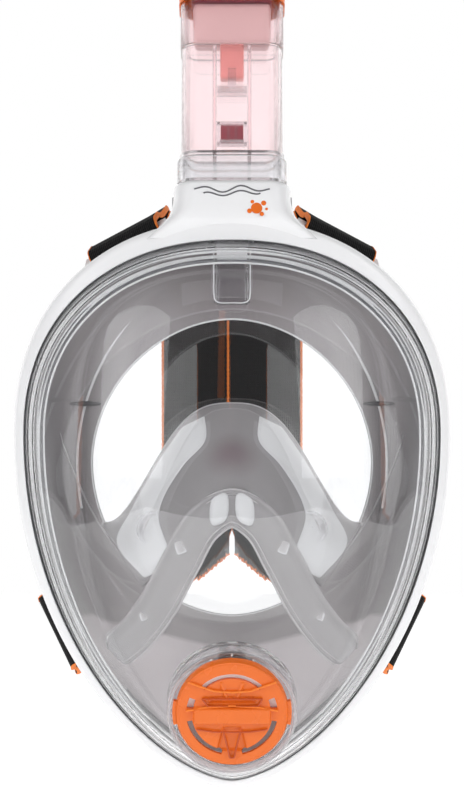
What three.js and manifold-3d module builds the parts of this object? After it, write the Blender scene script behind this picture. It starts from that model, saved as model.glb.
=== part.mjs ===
// Full-face snorkelling mask with a detachable dry-top snorkel, as an assembly of separate solids.
// Millimetres. +Z is up, -Y is the way the wearer looks, +X is the viewer's right from the front.
// The origin is on the mirror plane, at the height of the frame's widest line and at the depth
// where the skirt rests on the middle of the forehead.
import * as THREE from 'three';
import { mergeVertices } from 'three/addons/utils/BufferGeometryUtils.js';
import Module from 'manifold-3d';

const wasm = await Module();
wasm.setup();

const V = (x, y, z) => new THREE.Vector3(x, y, z);
const degrees = THREE.MathUtils.degToRad;

// ---------------------------------------------------------------- driving dimensions
const GAP = 0.3; // kept between solids that touch on the real mask
const AROUND = 48; // points round each ring of the rim
const RIM_FRONT = -18; // depth of the rim's middle, in front of the forehead seal
const RIM_WRAP = 30; // how far the rim's sides sit behind its middle
const FRAME_HALF_WIDTH = 95;

// Egg-shaped outlines: half width at the widest line, height above it and below it.
const OUTSIDE = { half: FRAME_HALF_WIDTH, top: 92, chin: 150 };
const CHAMFER = { half: 94, top: 90.8, chin: 149 };
const WALL = { half: 92.4, top: 88, chin: 147.5 };
const FLANGE = { half: 92.1, top: 86.8, chin: 147 };
const WINDOW = { half: 90.2, top: 83, chin: 145.8 };
const SEAT = { half: 88.3, top: 81, chin: 144 };
const FACE_LINE = -12; // height of the face opening's widest line
const OPENING = { half: 61, top: 61.9, chin: 65.6, centre: FACE_LINE, round: 1.9, point: 0.55 };
const RIDGE = { half: 68.5, top: 84, chin: 87, centre: FACE_LINE, round: 1.9, point: 0.55 };
const FACE_WRAP = 27; // how far the seal's sides sit behind the forehead

const LENS_EDGE = { half: 75, top: 67.5, chin: 136.5 }; // where the viewing face turns into the side wall
const LENS_WALL = 2.2;
const LENS_EDGE_DEPTH = 26.5; // from the rim plane forward to that edge
const LENS_CROWN = 13.5; // further forward to the middle of the viewing face
const LENS_CENTRE = -20; // height of the middle of the viewing face

const VALVE = { height: -114.6, depth: -57, tilt: 18, bore: 25.1, outer: 26.8, deep: 14 };
const COVER_RADIUS = 23.3;
const LUG_RADIUS = 24.7;

const SNORKEL = { height: 93, depth: -9, lean: 14 };
const COLLAR = { x: 25, y: 16.5, round: 10, bottom: -9, top: 12.3 };
const SOCKET = { x: 22.8, y: 14.2, round: 8, floor: 1.4 };
const BUTTON = { x: 6.5, front: 14.5, back: 18.8, bottom: 3.3, top: 8 };
const DUCT = { x: 7.5, front: -21.8, back: -13.5, bottom: 55.6, top: 91.5, socket: 99, wall: 1.2 };

// The snorkel's sections: half sizes, corner radius and heights along its own axis.
const TUBE = { x: 21.7, y: 13.4, round: 7.4, wall: 1.8, bottom: 26.3, top: 74.5 };
const HOUSING = { x: 22.3, y: 14.2, round: 8.2, wall: 1.6, top: 99.3 };
const DIVIDER = { x: 7.5, wall: 1.5 };
const CAP_WALL = 1.7;

const PORT = { radius: 7.2, bore: 5.8 }; // an inhalation valve in the orinasal cup
const BAND = { width: 16.5, thick: 2.2, steps: 30 }; // the clear strip that holds the cup

const SCREW = { angle: 68, inset: 2.6, radius: 1, head: 2.1 };
const CLIP = { inset: 5, plate: 20.4, ear: 20.1, bar: 15.2, loop: 3.9 };
const CLIP_ANGLE = { upper: 61, lower: -33.5 }; // round the rim, from its widest line
const CLIP_PITCH = { upper: 22, lower: 17 }; // how far the plates lean outwards
const PIN = { radius: 1.2, length: 43.5 };
const STRAP = { width: 34, thick: 2, back: 124, offset: 15.3, high: 54, low: -32, layer: 2.4 };
const SEAM = 1.5; // left between the sewn back of the head strap and its arms

// ---------------------------------------------------------------- solids from surfaces
function signedVolume(positions, index) {
  const corner = (i) => V().fromArray(positions, 3 * i);
  let sum = 0;
  for (let i = 0; i < index.length; i += 3) {
    const [a, b, c] = [corner(index[i]), corner(index[i + 1]), corner(index[i + 2])];
    sum += a.dot(b.cross(c)) / 6;
  }
  return sum;
}

// A closed surface through rings of equal length: the ends are closed by fans, or meet in a loop.
function loft(rings, { loop = false } = {}) {
  const count = rings[0].length;
  const points = rings.flat();
  const at = (ring, i) => (ring % rings.length) * count + (i % count);
  const index = [];
  const spans = loop ? rings.length : rings.length - 1;
  for (let r = 0; r < spans; r++) {
    for (let i = 0; i < count; i++) {
      index.push(at(r, i), at(r, i + 1), at(r + 1, i + 1));
      index.push(at(r, i), at(r + 1, i + 1), at(r + 1, i));
    }
  }
  if (!loop) {
    for (const ring of [0, rings.length - 1]) {
      points.push(rings[ring].reduce((sum, p) => sum.add(p), V(0, 0, 0)).divideScalar(count));
      for (let i = 0; i < count; i++) {
        const ends = [at(ring, i), at(ring, i + 1)];
        if (ring === 0) ends.reverse();
        index.push(points.length - 1, ...ends);
      }
    }
  }
  const positions = points.flatMap((p) => p.toArray());
  if (signedVolume(positions, index) < 0) index.reverse();
  return new THREE.BufferGeometry()
    .setAttribute('position', new THREE.Float32BufferAttribute(positions, 3))
    .setIndex(index);
}

function solid(geometry) {
  const bare = geometry.clone();
  bare.deleteAttribute('normal');
  bare.deleteAttribute('uv');
  const merged = mergeVertices(bare, 1e-4);
  const triVerts = new Uint32Array(merged.index.array);
  return new wasm.Manifold(
    new wasm.Mesh({ numProp: 3, vertProperties: merged.attributes.position.array, triVerts }),
  );
}

function geometryOf(manifold) {
  const mesh = manifold.getMesh();
  return new THREE.BufferGeometry()
    .setAttribute('position', new THREE.BufferAttribute(new Float32Array(mesh.vertProperties), 3))
    .setIndex(new THREE.BufferAttribute(new Uint32Array(mesh.triVerts), 1));
}

const join = (first, ...others) => others.reduce((sum, other) => sum.add(other), first);
const cut = (first, ...others) => others.reduce((rest, other) => rest.subtract(other), first);

function block(x0, x1, y0, y1, z0, z1) {
  const box = new THREE.BoxGeometry(x1 - x0, y1 - y0, z1 - z0);
  return solid(box.translate((x0 + x1) / 2, (y0 + y1) / 2, (z0 + z1) / 2));
}

// A round bar along Z between two heights.
function bar(radius, z0, z1, { x = 0, y = 0, sides = 36 } = {}) {
  const cylinder = new THREE.CylinderGeometry(radius, radius, z1 - z0, sides);
  return solid(cylinder.rotateX(Math.PI / 2).translate(x, y, (z0 + z1) / 2));
}

function roundedRectangle(halfX, halfY, round) {
  const [x, y] = [halfX - round, halfY - round];
  const shape = new THREE.Shape();
  shape.absarc(x, y, round, 0, Math.PI / 2);
  shape.absarc(-x, y, round, Math.PI / 2, Math.PI);
  shape.absarc(-x, -y, round, Math.PI, 1.5 * Math.PI);
  shape.absarc(x, -y, round, 1.5 * Math.PI, 2 * Math.PI);
  return shape;
}

// A prism with rounded corners along Z between two heights.
function prism(halfX, halfY, round, z0, z1, corner = 4) {
  const shape = roundedRectangle(halfX, halfY, round);
  const options = { depth: z1 - z0, bevelEnabled: false, curveSegments: corner };
  return solid(new THREE.ExtrudeGeometry(shape, options).translate(0, 0, z0));
}

const alongX = new THREE.Matrix4().makeRotationY(Math.PI / 2);
const moved = (manifold, matrix) => solid(geometryOf(manifold).applyMatrix4(matrix));

// ---------------------------------------------------------------- the rim's shape
function egg({ half, top, chin, centre = 0, round = 2.2, point = 0.625 }, angle) {
  const [c, s] = [Math.cos(angle), Math.sin(angle)];
  const side = Math.sign(c);
  const width = Math.abs(c);
  if (s >= 0) return [side * half * width ** (2 / round), centre + top * s ** (2 / round)];
  return [side * half * width ** (2 * point), centre + chin * s];
}

const rimPlane = (x) => RIM_FRONT + RIM_WRAP * (x / FRAME_HALF_WIDTH) ** 2;
const facePlane = (x) => FACE_WRAP * (x / RIDGE.half) ** 2;

const wider = (outline, extra) => ({
  ...outline,
  half: outline.half + extra,
  top: outline.top + extra,
  chin: outline.chin + extra,
});

function onRim(outline, offset, angle) {
  const [x, z] = egg(outline, angle);
  return V(x, rimPlane(x) + offset, z);
}

function onFace(outline, offset, angle) {
  const [x, z] = egg(outline, angle);
  return V(x, facePlane(x) + offset, z);
}

const angles = Array.from({ length: AROUND }, (_, i) => (2 * Math.PI * i) / AROUND);

// A closed ring that follows the rim. Its section is a list of outlines with their depths.
function rimRing(section) {
  const rings = angles.map((angle) => section.map(([line, offset]) => onRim(line, offset, angle)));
  return solid(loft(rings, { loop: true }));
}

// The axes at a point of the rim: along it, backwards and outwards.
function rimFrame(angle, side) {
  const step = 0.02;
  const place = (a) => {
    const p = onRim(OUTSIDE, 0, a);
    return V(side * p.x, p.y, p.z);
  };
  const along = place(angle - side * step).sub(place(angle + side * step)).normalize();
  const outwards = V(-along.z, 0, along.x).normalize();
  const back = V().crossVectors(outwards, along);
  return { at: place(angle), along, back, outwards };
}

// ---------------------------------------------------------------- frame matrices
const snorkelMatrix = new THREE.Matrix4()
  .makeRotationX(-degrees(SNORKEL.lean))
  .setPosition(0, SNORKEL.depth, SNORKEL.height);
const valveMatrix = new THREE.Matrix4()
  .makeRotationX(degrees(90 + VALVE.tilt))
  .setPosition(0, VALVE.depth, VALVE.height);

// ---------------------------------------------------------------- frame
function ductClearance() {
  const c = GAP;
  return block(-DUCT.x - c, DUCT.x + c, DUCT.front - c, DUCT.back + c, DUCT.bottom - 1, DUCT.socket);
}

function screwPlace(side) {
  const { at, outwards } = rimFrame(degrees(SCREW.angle), side);
  return at.addScaledVector(outwards, -SCREW.inset);
}

// A round bar along Y behind the rim, for the frame's screws.
function screwBar(side, radius, from, to) {
  const p = screwPlace(side);
  const cylinder = new THREE.CylinderGeometry(radius, radius, to - from, 16);
  return solid(cylinder.translate(p.x, p.y + (from + to) / 2, p.z));
}

function frontFrame() {
  const bezel = rimRing([
    [OUTSIDE, 6.1], [OUTSIDE, -6], [CHAMFER, -8], [WINDOW, -7.2], [WINDOW, -4.5], [WALL, -4.5], [WALL, 6.1],
  ]);
  const screws = [1, -1].map((side) => screwBar(side, SCREW.radius + GAP, -2, 20));
  return cut(bezel, ductClearance(), ...screws);
}

// Saddles the top of the rim and takes the snorkel's plug in its socket.
function snorkelCollar() {
  const outline = wider(OUTSIDE, GAP);
  const [front, back] = [-60, 60].map((depth) => angles.map((angle) => onRim(outline, 0, angle).setY(depth)));
  const outside = prism(COLLAR.x, COLLAR.y, COLLAR.round, COLLAR.bottom, COLLAR.top);
  const socket = prism(SOCKET.x, SOCKET.y, SOCKET.round, SOCKET.floor, COLLAR.top + 1);
  const { x, bottom, top } = BUTTON;
  const slot = block(-x - 0.4, x + 0.4, SOCKET.y - 2, COLLAR.y + 1, bottom - 0.4, top + 0.4);
  return cut(moved(cut(outside, socket, slot), snorkelMatrix), solid(loft([front, back])), ductClearance());
}

function clipMatrix(level, side) {
  const { at, along, back, outwards } = rimFrame(degrees(CLIP_ANGLE[level]), side);
  const pin = at.clone().add(V(0, 12.8, 0)).addScaledVector(outwards, -CLIP.inset);
  return new THREE.Matrix4().makeBasis(along, back, outwards).setPosition(pin);
}

const CLIPS = ['upper', 'lower'].flatMap((level) => [[level, 1, 'right'], [level, -1, 'left']]);

function rearFrame() {
  const ring = rimRing([
    [FLANGE, 1.5], [FLANGE, 6.4], [OUTSIDE, 6.4], [OUTSIDE, 8], [CHAMFER, 8.4], [SEAT, 8.4], [SEAT, 1.5],
  ]);
  const ears = CLIPS.flatMap(([level, side]) =>
    [-1, 1].map((end) => {
      const middle = end * CLIP.ear;
      const ear = cut(
        block(middle - 1.5, middle + 1.5, -5.2, 3.2, -3.2, 3.2),
        moved(bar(PIN.radius + GAP, -30, 30, { sides: 12 }), alongX),
      );
      return moved(ear, clipMatrix(level, side));
    }),
  );
  const holes = [1, -1].map((side) => screwBar(side, SCREW.radius + GAP, 0, 20));
  const heads = [1, -1].map((side) => screwBar(side, SCREW.head + GAP, 7, 20));
  return cut(join(ring, ...ears), ductClearance(), ...holes, ...heads);
}

function frameScrew(side) {
  const head = screwBar(side, SCREW.head, 7.3, 8.6);
  const slot = screwPlace(side);
  const shank = screwBar(side, SCREW.radius, -1, 7.4);
  const cross = block(slot.x - 0.4, slot.x + 0.4, slot.y + 8, slot.y + 9, slot.z - 3, slot.z + 3);
  return cut(join(head, shank), cross);
}

// ---------------------------------------------------------------- lens
// A ring of points on the viewing face: share 0 is its middle and 1 its edge.
function lensFaceRing(edge, depth, share) {
  return angles.map((angle) => {
    const [x, z] = egg(edge, angle);
    const [px, pz] = [x * share, LENS_CENTRE + (z - LENS_CENTRE) * share];
    return V(px, rimPlane(px) - depth - LENS_CROWN * (1 - share ** 2), pz);
  });
}

function lens() {
  const shares = [0.3, 0.68, 1];
  const outer = [
    ...shares.map((share) => lensFaceRing(LENS_EDGE, LENS_EDGE_DEPTH, share)),
    ...[
      [{ half: 83.5, top: 75.8, chin: 141.8 }, -20.5],
      [{ half: 88.5, top: 80.6, chin: 144.6 }, -12.5],
      [{ half: 89.8, top: 82.6, chin: 145.4 }, -4.2],
      [FLANGE, -4.2],
    ].map(([line, offset]) => angles.map((angle) => onRim(line, offset, angle))),
  ];
  const innerEdge = { half: 73.4, top: 66.1, chin: 134.9 };
  const inner = [
    ...[
      [FLANGE, -1.7],
      [{ half: 87.4, top: 80.2, chin: 143 }, -1.7],
      [{ half: 86.2, top: 78.2, chin: 142.2 }, -11.5],
      [{ half: 81.6, top: 74.1, chin: 139.6 }, -18.5],
    ].map(([line, offset]) => angles.map((angle) => onRim(line, offset, angle))),
    ...shares.toReversed().map((share) => lensFaceRing(innerEdge, LENS_EDGE_DEPTH - LENS_WALL, share)),
  ];
  const shell = solid(loft([...outer, ...inner]));
  const housing = moved(bar(VALVE.outer, -VALVE.deep, 0), valveMatrix);
  const bore = moved(bar(VALVE.bore, -VALVE.deep - 30, 5), valveMatrix);
  return cut(join(shell, housing), bore, ductClearance());
}

// ---------------------------------------------------------------- exhaust valve in the chin
function exhaustSeat() {
  const outer = bar(VALVE.bore - GAP, -12.6, -10.2);
  const open = bar(19.8, -20, 0, { sides: 24 });
  const spokes = [0, 60, 120].map((turn) => {
    const spoke = block(-22, 22, -1.2, 1.2, -12.6, -10.6);
    return moved(spoke, new THREE.Matrix4().makeRotationZ(degrees(turn)));
  });
  const hub = bar(3.5, -12.6, -10.6, { sides: 12 });
  return cut(join(cut(outer, open), ...spokes, hub), bar(1.5, -20, 0, { sides: 12 }));
}

const exhaustMembrane = () => join(bar(21.4, -9.9, -8.9), bar(1.2, -13.8, -9.8, { sides: 12 }));

// A slot that follows an arc round the cover's middle.
function arcSlot(inner, outer, from, to) {
  const shape = new THREE.Shape();
  shape.absarc(0, 0, outer, degrees(from), degrees(to));
  shape.absarc(0, 0, inner, degrees(to), degrees(from), true);
  const options = { depth: 12, bevelEnabled: false, curveSegments: 6 };
  return solid(new THREE.ExtrudeGeometry(shape, options).translate(0, 0, -8));
}

function exhaustCover() {
  const slots = [
    arcSlot(15.6, 18.4, 54, 126), arcSlot(15.2, 18, 158, 176), arcSlot(15.2, 18, 4, 22),
    arcSlot(15.8, 18.6, 190, 256), arcSlot(15.8, 18.6, 284, 350),
  ];
  const lugs = block(-LUG_RADIUS, LUG_RADIUS, -5.5, 5.5, -4.6, -2);
  const grip = block(-16, 16, -3.6, 3.6, -2, 0.6);
  const rim = cut(bar(COVER_RADIUS, -5.6, -1), bar(COVER_RADIUS - 2, -5.7, -2.6));
  const disc = bar(COVER_RADIUS, -2.8, -1);
  const outside = cut(lugs.intersect(bar(LUG_RADIUS, -9, 9)), bar(COVER_RADIUS - 1, -9, 9));
  return join(cut(join(disc, grip), ...slots), rim, outside);
}

// ---------------------------------------------------------------- face skirt and orinasal cup
function faceSkirt() {
  const rings = angles.map((angle) => {
    const frontStart = onRim({ half: 85.6, top: 78, chin: 141.5 }, -1.4, angle);
    const frontRidge = onFace(wider(RIDGE, -0.9), -1.6, angle);
    const backStart = onRim({ half: 87, top: 79.4, chin: 143 }, 1.2, angle);
    const backRidge = onFace(wider(RIDGE, 0.9), 0.6, angle);
    const frontMiddle = frontStart.clone().lerp(frontRidge, 0.5);
    const backMiddle = backStart.clone().lerp(backRidge, 0.5);
    const bulge = frontMiddle.clone().setY(0).normalize().multiplyScalar(2.2);
    return [
      onRim(FLANGE, -1.4, angle), frontStart, frontMiddle.add(bulge), frontRidge,
      onFace(OPENING, -0.6, angle), onFace(OPENING, 0.6, angle),
      backRidge, backMiddle.add(bulge), backStart, onRim(FLANGE, 1.2, angle),
    ];
  });
  return cut(solid(loft(rings, { loop: true })), ductClearance());
}

// The cup's upper edge over the nose and cheeks, and its lower edge on the retainer.
const CUP = { half: 56, across: 22, thick: 1.8 };
const noseLine = (x) => -12.4 + 26 * Math.cos(Math.PI * (Math.min(Math.abs(x), 54) / 54) ** 1.4);
const bandPlane = (x) => -51 + 27 * (x / 52) ** 2;

function cupPoint(along, down, behind) {
  const upper = V(CUP.half * along, 0, noseLine(CUP.half * along));
  const upperDepth = -10 + 22 * Math.abs(along) ** 1.5;
  const lowerX = 37 * Math.sign(along) * Math.abs(along) ** 1.1;
  const lower = V(lowerX, 0, -27 - 36.5 * Math.abs(along) ** 1.25);
  const lowerDepth = bandPlane(lowerX) + 3;
  const rise = Math.sin((down * Math.PI) / 2) ** 0.85;
  const place = upper.lerp(lower, down);
  return place.setY(upperDepth + (lowerDepth - upperDepth) * rise + behind);
}

function cupShell() {
  const rows = [0, 0.12, 0.3, 0.6, 1];
  const columns = Array.from({ length: CUP.across + 1 }, (_, i) => -1 + (2 * i) / CUP.across);
  const rings = columns.map((along) => [
    ...rows.map((down) => cupPoint(along, down, 0)),
    ...rows.toReversed().map((down) => cupPoint(along, down, CUP.thick)),
  ]);
  return solid(loft(rings));
}

// The port of an inhalation valve: its axis leans outwards and forwards from the cup's flank.
function portMatrix(side) {
  const middle = cupPoint(side * 0.72, 0.52, 0);
  const axis = V(side * 0.42, -0.86, 0.28).normalize();
  return new THREE.Matrix4()
    .makeRotationFromQuaternion(new THREE.Quaternion().setFromUnitVectors(V(0, 0, 1), axis))
    .setPosition(middle);
}

function orinasalCup() {
  const hole = bar(PORT.radius + GAP, -12, 12, { sides: 24 });
  return cut(cupShell(), ...[1, -1].map((side) => moved(hole, portMatrix(side))));
}

function inhalationSeat() {
  const ring = cut(bar(PORT.radius, -3, 2, { sides: 24 }), bar(PORT.bore, -4, 3, { sides: 24 }));
  const spoke = block(-6.5, 6.5, -0.8, 0.8, -1, -0.2);
  return cut(join(ring, spoke), bar(1, -9, 9, { sides: 12 }));
}

const inhalationFlap = () =>
  join(bar(PORT.bore - 0.5, -2.1, -1.3, { sides: 24 }), bar(0.7, -1.4, 1.2, { sides: 12 }));

const bandHalf = [[0, -29.5], [12, -36.5], [21, -52], [30.5, -70], [41, -84], [51, -92.5]].map(
  ([x, z]) => V(x, 0, z),
);

function cupRetainer() {
  const left = bandHalf.slice(1).toReversed().map((p) => V(-p.x, 0, p.z));
  const curve = new THREE.CatmullRomCurve3([...left, ...bandHalf], false, 'centripetal');
  const rings = curve.getSpacedPoints(BAND.steps).map((p, i) => {
    const along = curve.getTangentAt(i / BAND.steps).setY(0).normalize();
    const across = V(-along.z, 0, along.x).multiplyScalar(BAND.width / 2);
    const corner = (side, behind) => {
      const c = p.clone().addScaledVector(across, side);
      return c.setY(bandPlane(p.x) + behind);
    };
    return [corner(1, 0), corner(-1, 0), corner(-1, BAND.thick), corner(1, BAND.thick)];
  });
  const tabs = [[-21.4, -45.6], [21.4, -45.6], [-36.6, -73.8], [36.6, -73.8]].map(([x, z]) =>
    block(x - 2, x + 2, bandPlane(x) - 0.8, bandPlane(x) + 1, z - 3, z + 3),
  );
  return join(solid(loft(rings)), ...tabs);
}

// ---------------------------------------------------------------- intake duct
function intakeDuct() {
  const { x, front, back, bottom, top, wall } = DUCT;
  const outer = block(-x, x, front, back, bottom, top);
  const inner = block(-x + wall, x - wall, front + wall, back - wall, bottom - 1, top + 1);
  return cut(outer, inner);
}

// ---------------------------------------------------------------- snorkel, along its own axis
// An open tube with rounded corners, its wall given.
function pipe({ x, y, round, wall }, from, to, floor = -1) {
  return cut(prism(x, y, round, from, to), prism(x - wall, y - wall, round - wall, from + floor, to + 1));
}

function snorkelBase() {
  const plug = prism(22, 13.4, 7.6, 1.9, 12.7);
  const sleeve = prism(23.5, 15, 8.8, COLLAR.top + GAP, 24);
  const neck = prism(22.3, 14, 8, 23.9, 26);
  const bore = prism(19.8, 9.6, 6, -1, 30);
  const latch = block(-8, 8, 10.9, 20, 0, 9);
  const groove = cut(prism(24, 16, 8, 9.4, 11.6), prism(20.9, 12.3, 7, 9, 12));
  return cut(join(plug, sleeve, neck), bore, latch, groove);
}

const snorkelGasket = () => cut(prism(22.5, 13.9, 7.8, 9.7, 11.3), prism(21.2, 12.6, 7.2, 9, 12));

function snorkelTube() {
  const { y, bottom, top } = TUBE;
  const dividers = [-1, 1].map((side) => {
    const middle = side * DIVIDER.x;
    return block(middle - DIVIDER.wall / 2, middle + DIVIDER.wall / 2, -y + 0.5, y - 0.5, bottom, top);
  });
  return join(pipe(TUBE, bottom, top), ...dividers);
}

function dryTopHousing() {
  const bottom = TUBE.top + GAP;
  const shell = pipe(HOUSING, bottom, HOUSING.top, 1.4);
  const hole = block(-6.6, 6.6, -5, 5, bottom - 1, bottom + 3);
  const exhale = [-1, 1].map((side) => block(side * 14 - 5, side * 14 + 5, -6, 6, bottom - 1, bottom + 3));
  return cut(shell, hole, ...exhale);
}

const float = () => join(prism(16.8, 9.6, 4, 77, 94.5), block(-5.1, 5.1, -2.5, 2.5, 62, 77.2));
const floatSeal = () => prism(17.2, 10, 4.4, 94.8, 96);
const floatSeat = () => cut(prism(18.5, 10.5, 5.6, 100.8, 102.2), prism(14, 7, 4, 90, 110));

function floatGuide() {
  const shelf = block(-6.4, 6.4, -4.5, 4.5, 56.6, 58.2);
  const nub = block(-1.8, 1.8, -4.5, -3.1, 58, 66);
  return join(shelf, nub);
}

function channelCage() {
  const rails = [block(-6.4, 6.4, -9, -4.5, 31.5, 32.7), block(-6.4, 6.4, -9, -8, 39.4, 40.6)];
  const sides = [-5.8, 5.8].map((x) => block(x - 0.6, x + 0.6, -9, -4.5, 31.5, 40.6));
  const bars = [-1.6, 1.6].map((x) => block(x - 0.6, x + 0.6, -9, -8, 32, 40));
  return join(...rails, ...sides, ...bars);
}

const channelFlap = () => block(-4.9, 4.9, -6.6, -5.8, 33.2, 40.4);

function ringAt(halfX, halfY, round, height) {
  const points = roundedRectangle(halfX, halfY, round).getSpacedPoints(32).slice(0, 32);
  return points.map((p) => V(p.x, p.y, height));
}

function dryTopCap() {
  const steps = [
    [22.3, 14.2, 8.2, 99.6], [21.9, 13.9, 8.2, 101.6], [20.4, 12.9, 8, 105.4],
    [16.6, 10.4, 7.4, 109.8], [9.6, 6, 5, 113],
  ];
  const w = CAP_WALL;
  const outer = steps.map(([x, y, round, height]) => ringAt(x, y, round, height));
  const inner = steps.map(([x, y, round, height], i) => {
    const depth = i > 0 ? w : 0;
    return ringAt(x - w, y - w, round - w, height - depth);
  });
  const shell = solid(loft([...inner.toReversed(), ...outer]));
  const vents = [-1, 1].flatMap((side) =>
    [-5, 0, 5].map((y) => block(side * 18 - 6, side * 18 + 6, y - 1.3, y + 1.3, 103.2, 107)),
  );
  const rear = [-10, -3.4, 3.4, 10].map((x) => block(x - 1.6, x + 1.6, 7, 20, 103.2, 107));
  return cut(shell, ...vents, ...rear);
}

const releaseButton = () =>
  block(-BUTTON.x, BUTTON.x, BUTTON.front, BUTTON.back, BUTTON.bottom, BUTTON.top);

// ---------------------------------------------------------------- strap clips and head straps
const clipPitch = (level) => new THREE.Matrix4().makeRotationX(degrees(CLIP_PITCH[level]));
const clipPin = () => moved(bar(PIN.radius, -PIN.length / 2, PIN.length / 2, { sides: 12 }), alongX);

// In the clip's own axes: X along the pin, Y along the plate away from the pin, Z outwards.
function strapClip(level) {
  const barrel = moved(bar(2.7, -18.2, 18.2, { sides: 12 }), alongX);
  const hole = moved(bar(PIN.radius + GAP, -30, 30, { sides: 12 }), alongX);
  const neck = block(-18.2, 18.2, 0, 6.5, -1.3, 1.3);
  const plate = block(-CLIP.plate, CLIP.plate, 5.4, CLIP.bar + 2, -1.3, 1.3);
  const slot = block(-17.8, 17.8, 7.6, 13.4, -3, 3);
  return moved(cut(join(barrel, neck, plate), hole, slot), clipPitch(level));
}

// A flat strap through points, each with the direction that its outer side faces.
function ribbon(route) {
  const curve = new THREE.CatmullRomCurve3(route.map(([p]) => p), false, 'centripetal');
  const rings = route.map(([point, facing], i) => {
    const along = curve.getTangent(i / (route.length - 1)).normalize();
    const across = V().crossVectors(along, facing).normalize();
    const up = V().crossVectors(across, along);
    across.multiplyScalar(STRAP.width / 2);
    up.multiplyScalar(STRAP.thick / 2);
    const corner = (w, h) => point.clone().addScaledVector(across, w).addScaledVector(up, h);
    return [corner(-1, -1), corner(1, -1), corner(1, 1), corner(-1, 1)];
  });
  return solid(loft(rings));
}

// Points along a smooth curve, with facings blended between the given ones.
function smoothRoute(stations, steps) {
  const curve = new THREE.CatmullRomCurve3(stations.map(([p]) => p), false, 'centripetal');
  return Array.from({ length: steps + 1 }, (_, i) => {
    const t = (i / steps) * (stations.length - 1);
    const k = Math.min(Math.floor(t), stations.length - 2);
    const facing = stations[k][1].clone().lerp(stations[k + 1][1], t - k).normalize();
    return [curve.getPoint(i / steps), facing];
  });
}

// The way from the back of the head to a clip, round its bar, and back over itself to the free end.
function strapRoute(level, side) {
  const matrix = clipMatrix(level, side).multiply(clipPitch(level));
  const inClip = (y, z) => V(0, y, z).applyMatrix4(matrix);
  const inClipFacing = (y, z) => V(0, y, z).transformDirection(matrix);
  const { back, offset, high, low } = STRAP;
  const over =
    level === 'upper'
      ? [
          [V(offset, back, high), V(0, 1, 0)],
          [V(offset, back - 0.6, high + 5), V(0, 1, 0.1)],
          [V(offset + 3, back - 9, high + 18), V(0, 0.85, 0.53)],
          [V(offset + 12, back - 32, high + 27), V(0.1, 0.45, 0.89)],
          [V(offset + 24, back - 60, high + 26.5), V(0.32, 0.12, 0.94)],
        ]
      : [
          [V(offset, back, low), V(0, 1, 0)],
          [V(offset + 0.8, back, low - 8), V(0, 1, 0)],
          [V(offset + 10, back - 1, low - 22), V(0.05, 1, 0)],
          [V(offset + 31, back - 12, low - 37), V(0.35, 0.93, -0.05)],
          [V(offset + 52, back - 42, low - 47), V(0.85, 0.5, -0.15)],
        ];
  const layer = side > 0 ? 0 : STRAP.layer;
  for (const [point, facing] of over) {
    facing.normalize().x *= side;
    point.x *= side;
    point.addScaledVector(facing, layer);
  }
  const stations = [
    ...over,
    [inClip(CLIP.bar + 22, -CLIP.loop - 2), inClipFacing(0, 1)],
    [inClip(CLIP.bar + 6, -CLIP.loop - 0.3), inClipFacing(0, 1)],
  ];
  const arm = smoothRoute(stations, 15);
  const loop = [270, 234, 198, 162, 126, 90].map((turn) => {
    const [c, s] = [Math.cos(degrees(turn)), Math.sin(degrees(turn))];
    return [inClip(CLIP.bar + CLIP.loop * c, CLIP.loop * s), inClipFacing(-c, -s)];
  });
  const lifts = [6.5, 4.4, 3.4, 3];
  const tail = lifts.map((lift, i) => {
    const [point, facing] = arm[arm.length - 2 - i];
    return [point.clone().addScaledVector(facing, lift), facing.clone().negate()];
  });
  return [...arm, ...loop, ...tail];
}

function strapBack(side) {
  const depth = STRAP.back + (side > 0 ? 0 : STRAP.layer);
  const heights = [STRAP.high - SEAM, 20, 0, STRAP.low + SEAM];
  return ribbon(heights.map((z) => [V(side * STRAP.offset, depth, z), V(0, 1, 0)]));
}

// ---------------------------------------------------------------- materials
const plain = (color, roughness, more = {}) =>
  new THREE.MeshStandardMaterial({ color, roughness, metalness: 0, ...more });
const MATERIALS = {
  frameWhite: plain(0xf4f4f5, 0.25),
  clear: plain(0xe9eef2, 0.05, { transparent: true, opacity: 0.3 }),
  pinkClear: plain(0xf0c4c6, 0.1, { transparent: true, opacity: 0.45 }),
  silicone: plain(0xa29ea0, 0.5),
  orange: plain(0xf26f21, 0.35),
  salmon: plain(0xe0807a, 0.45),
  darkRed: plain(0x6e2e38, 0.5),
  webbing: plain(0x3b3b3c, 0.9),
  clipGrey: plain(0xd9dadc, 0.4),
  steel: plain(0xb9bcc0, 0.3, { metalness: 1 }),
};

// ---------------------------------------------------------------- assembly
const mask = new THREE.Group();
const snorkel = new THREE.Group();
snorkel.applyMatrix4(snorkelMatrix);
const valve = new THREE.Group();
valve.applyMatrix4(valveMatrix);
mask.add(snorkel, valve);

function add(group, name, manifold, material) {
  const mesh = new THREE.Mesh(geometryOf(manifold), MATERIALS[material]);
  mesh.name = name;
  group.add(mesh);
  return mesh;
}

add(mask, 'front_frame', frontFrame(), 'frameWhite');
add(mask, 'rear_frame', rearFrame(), 'frameWhite');
add(mask, 'snorkel_collar', snorkelCollar(), 'frameWhite');
add(mask, 'lens', lens(), 'clear');
add(mask, 'face_skirt', faceSkirt(), 'silicone');
add(mask, 'orinasal_cup', orinasalCup(), 'silicone');
add(mask, 'cup_retainer', cupRetainer(), 'clear');
add(mask, 'intake_duct', intakeDuct(), 'clear');

add(valve, 'exhaust_seat', exhaustSeat(), 'clear');
add(valve, 'exhaust_membrane', exhaustMembrane(), 'silicone');
add(valve, 'exhaust_cover', exhaustCover(), 'orange');

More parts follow.
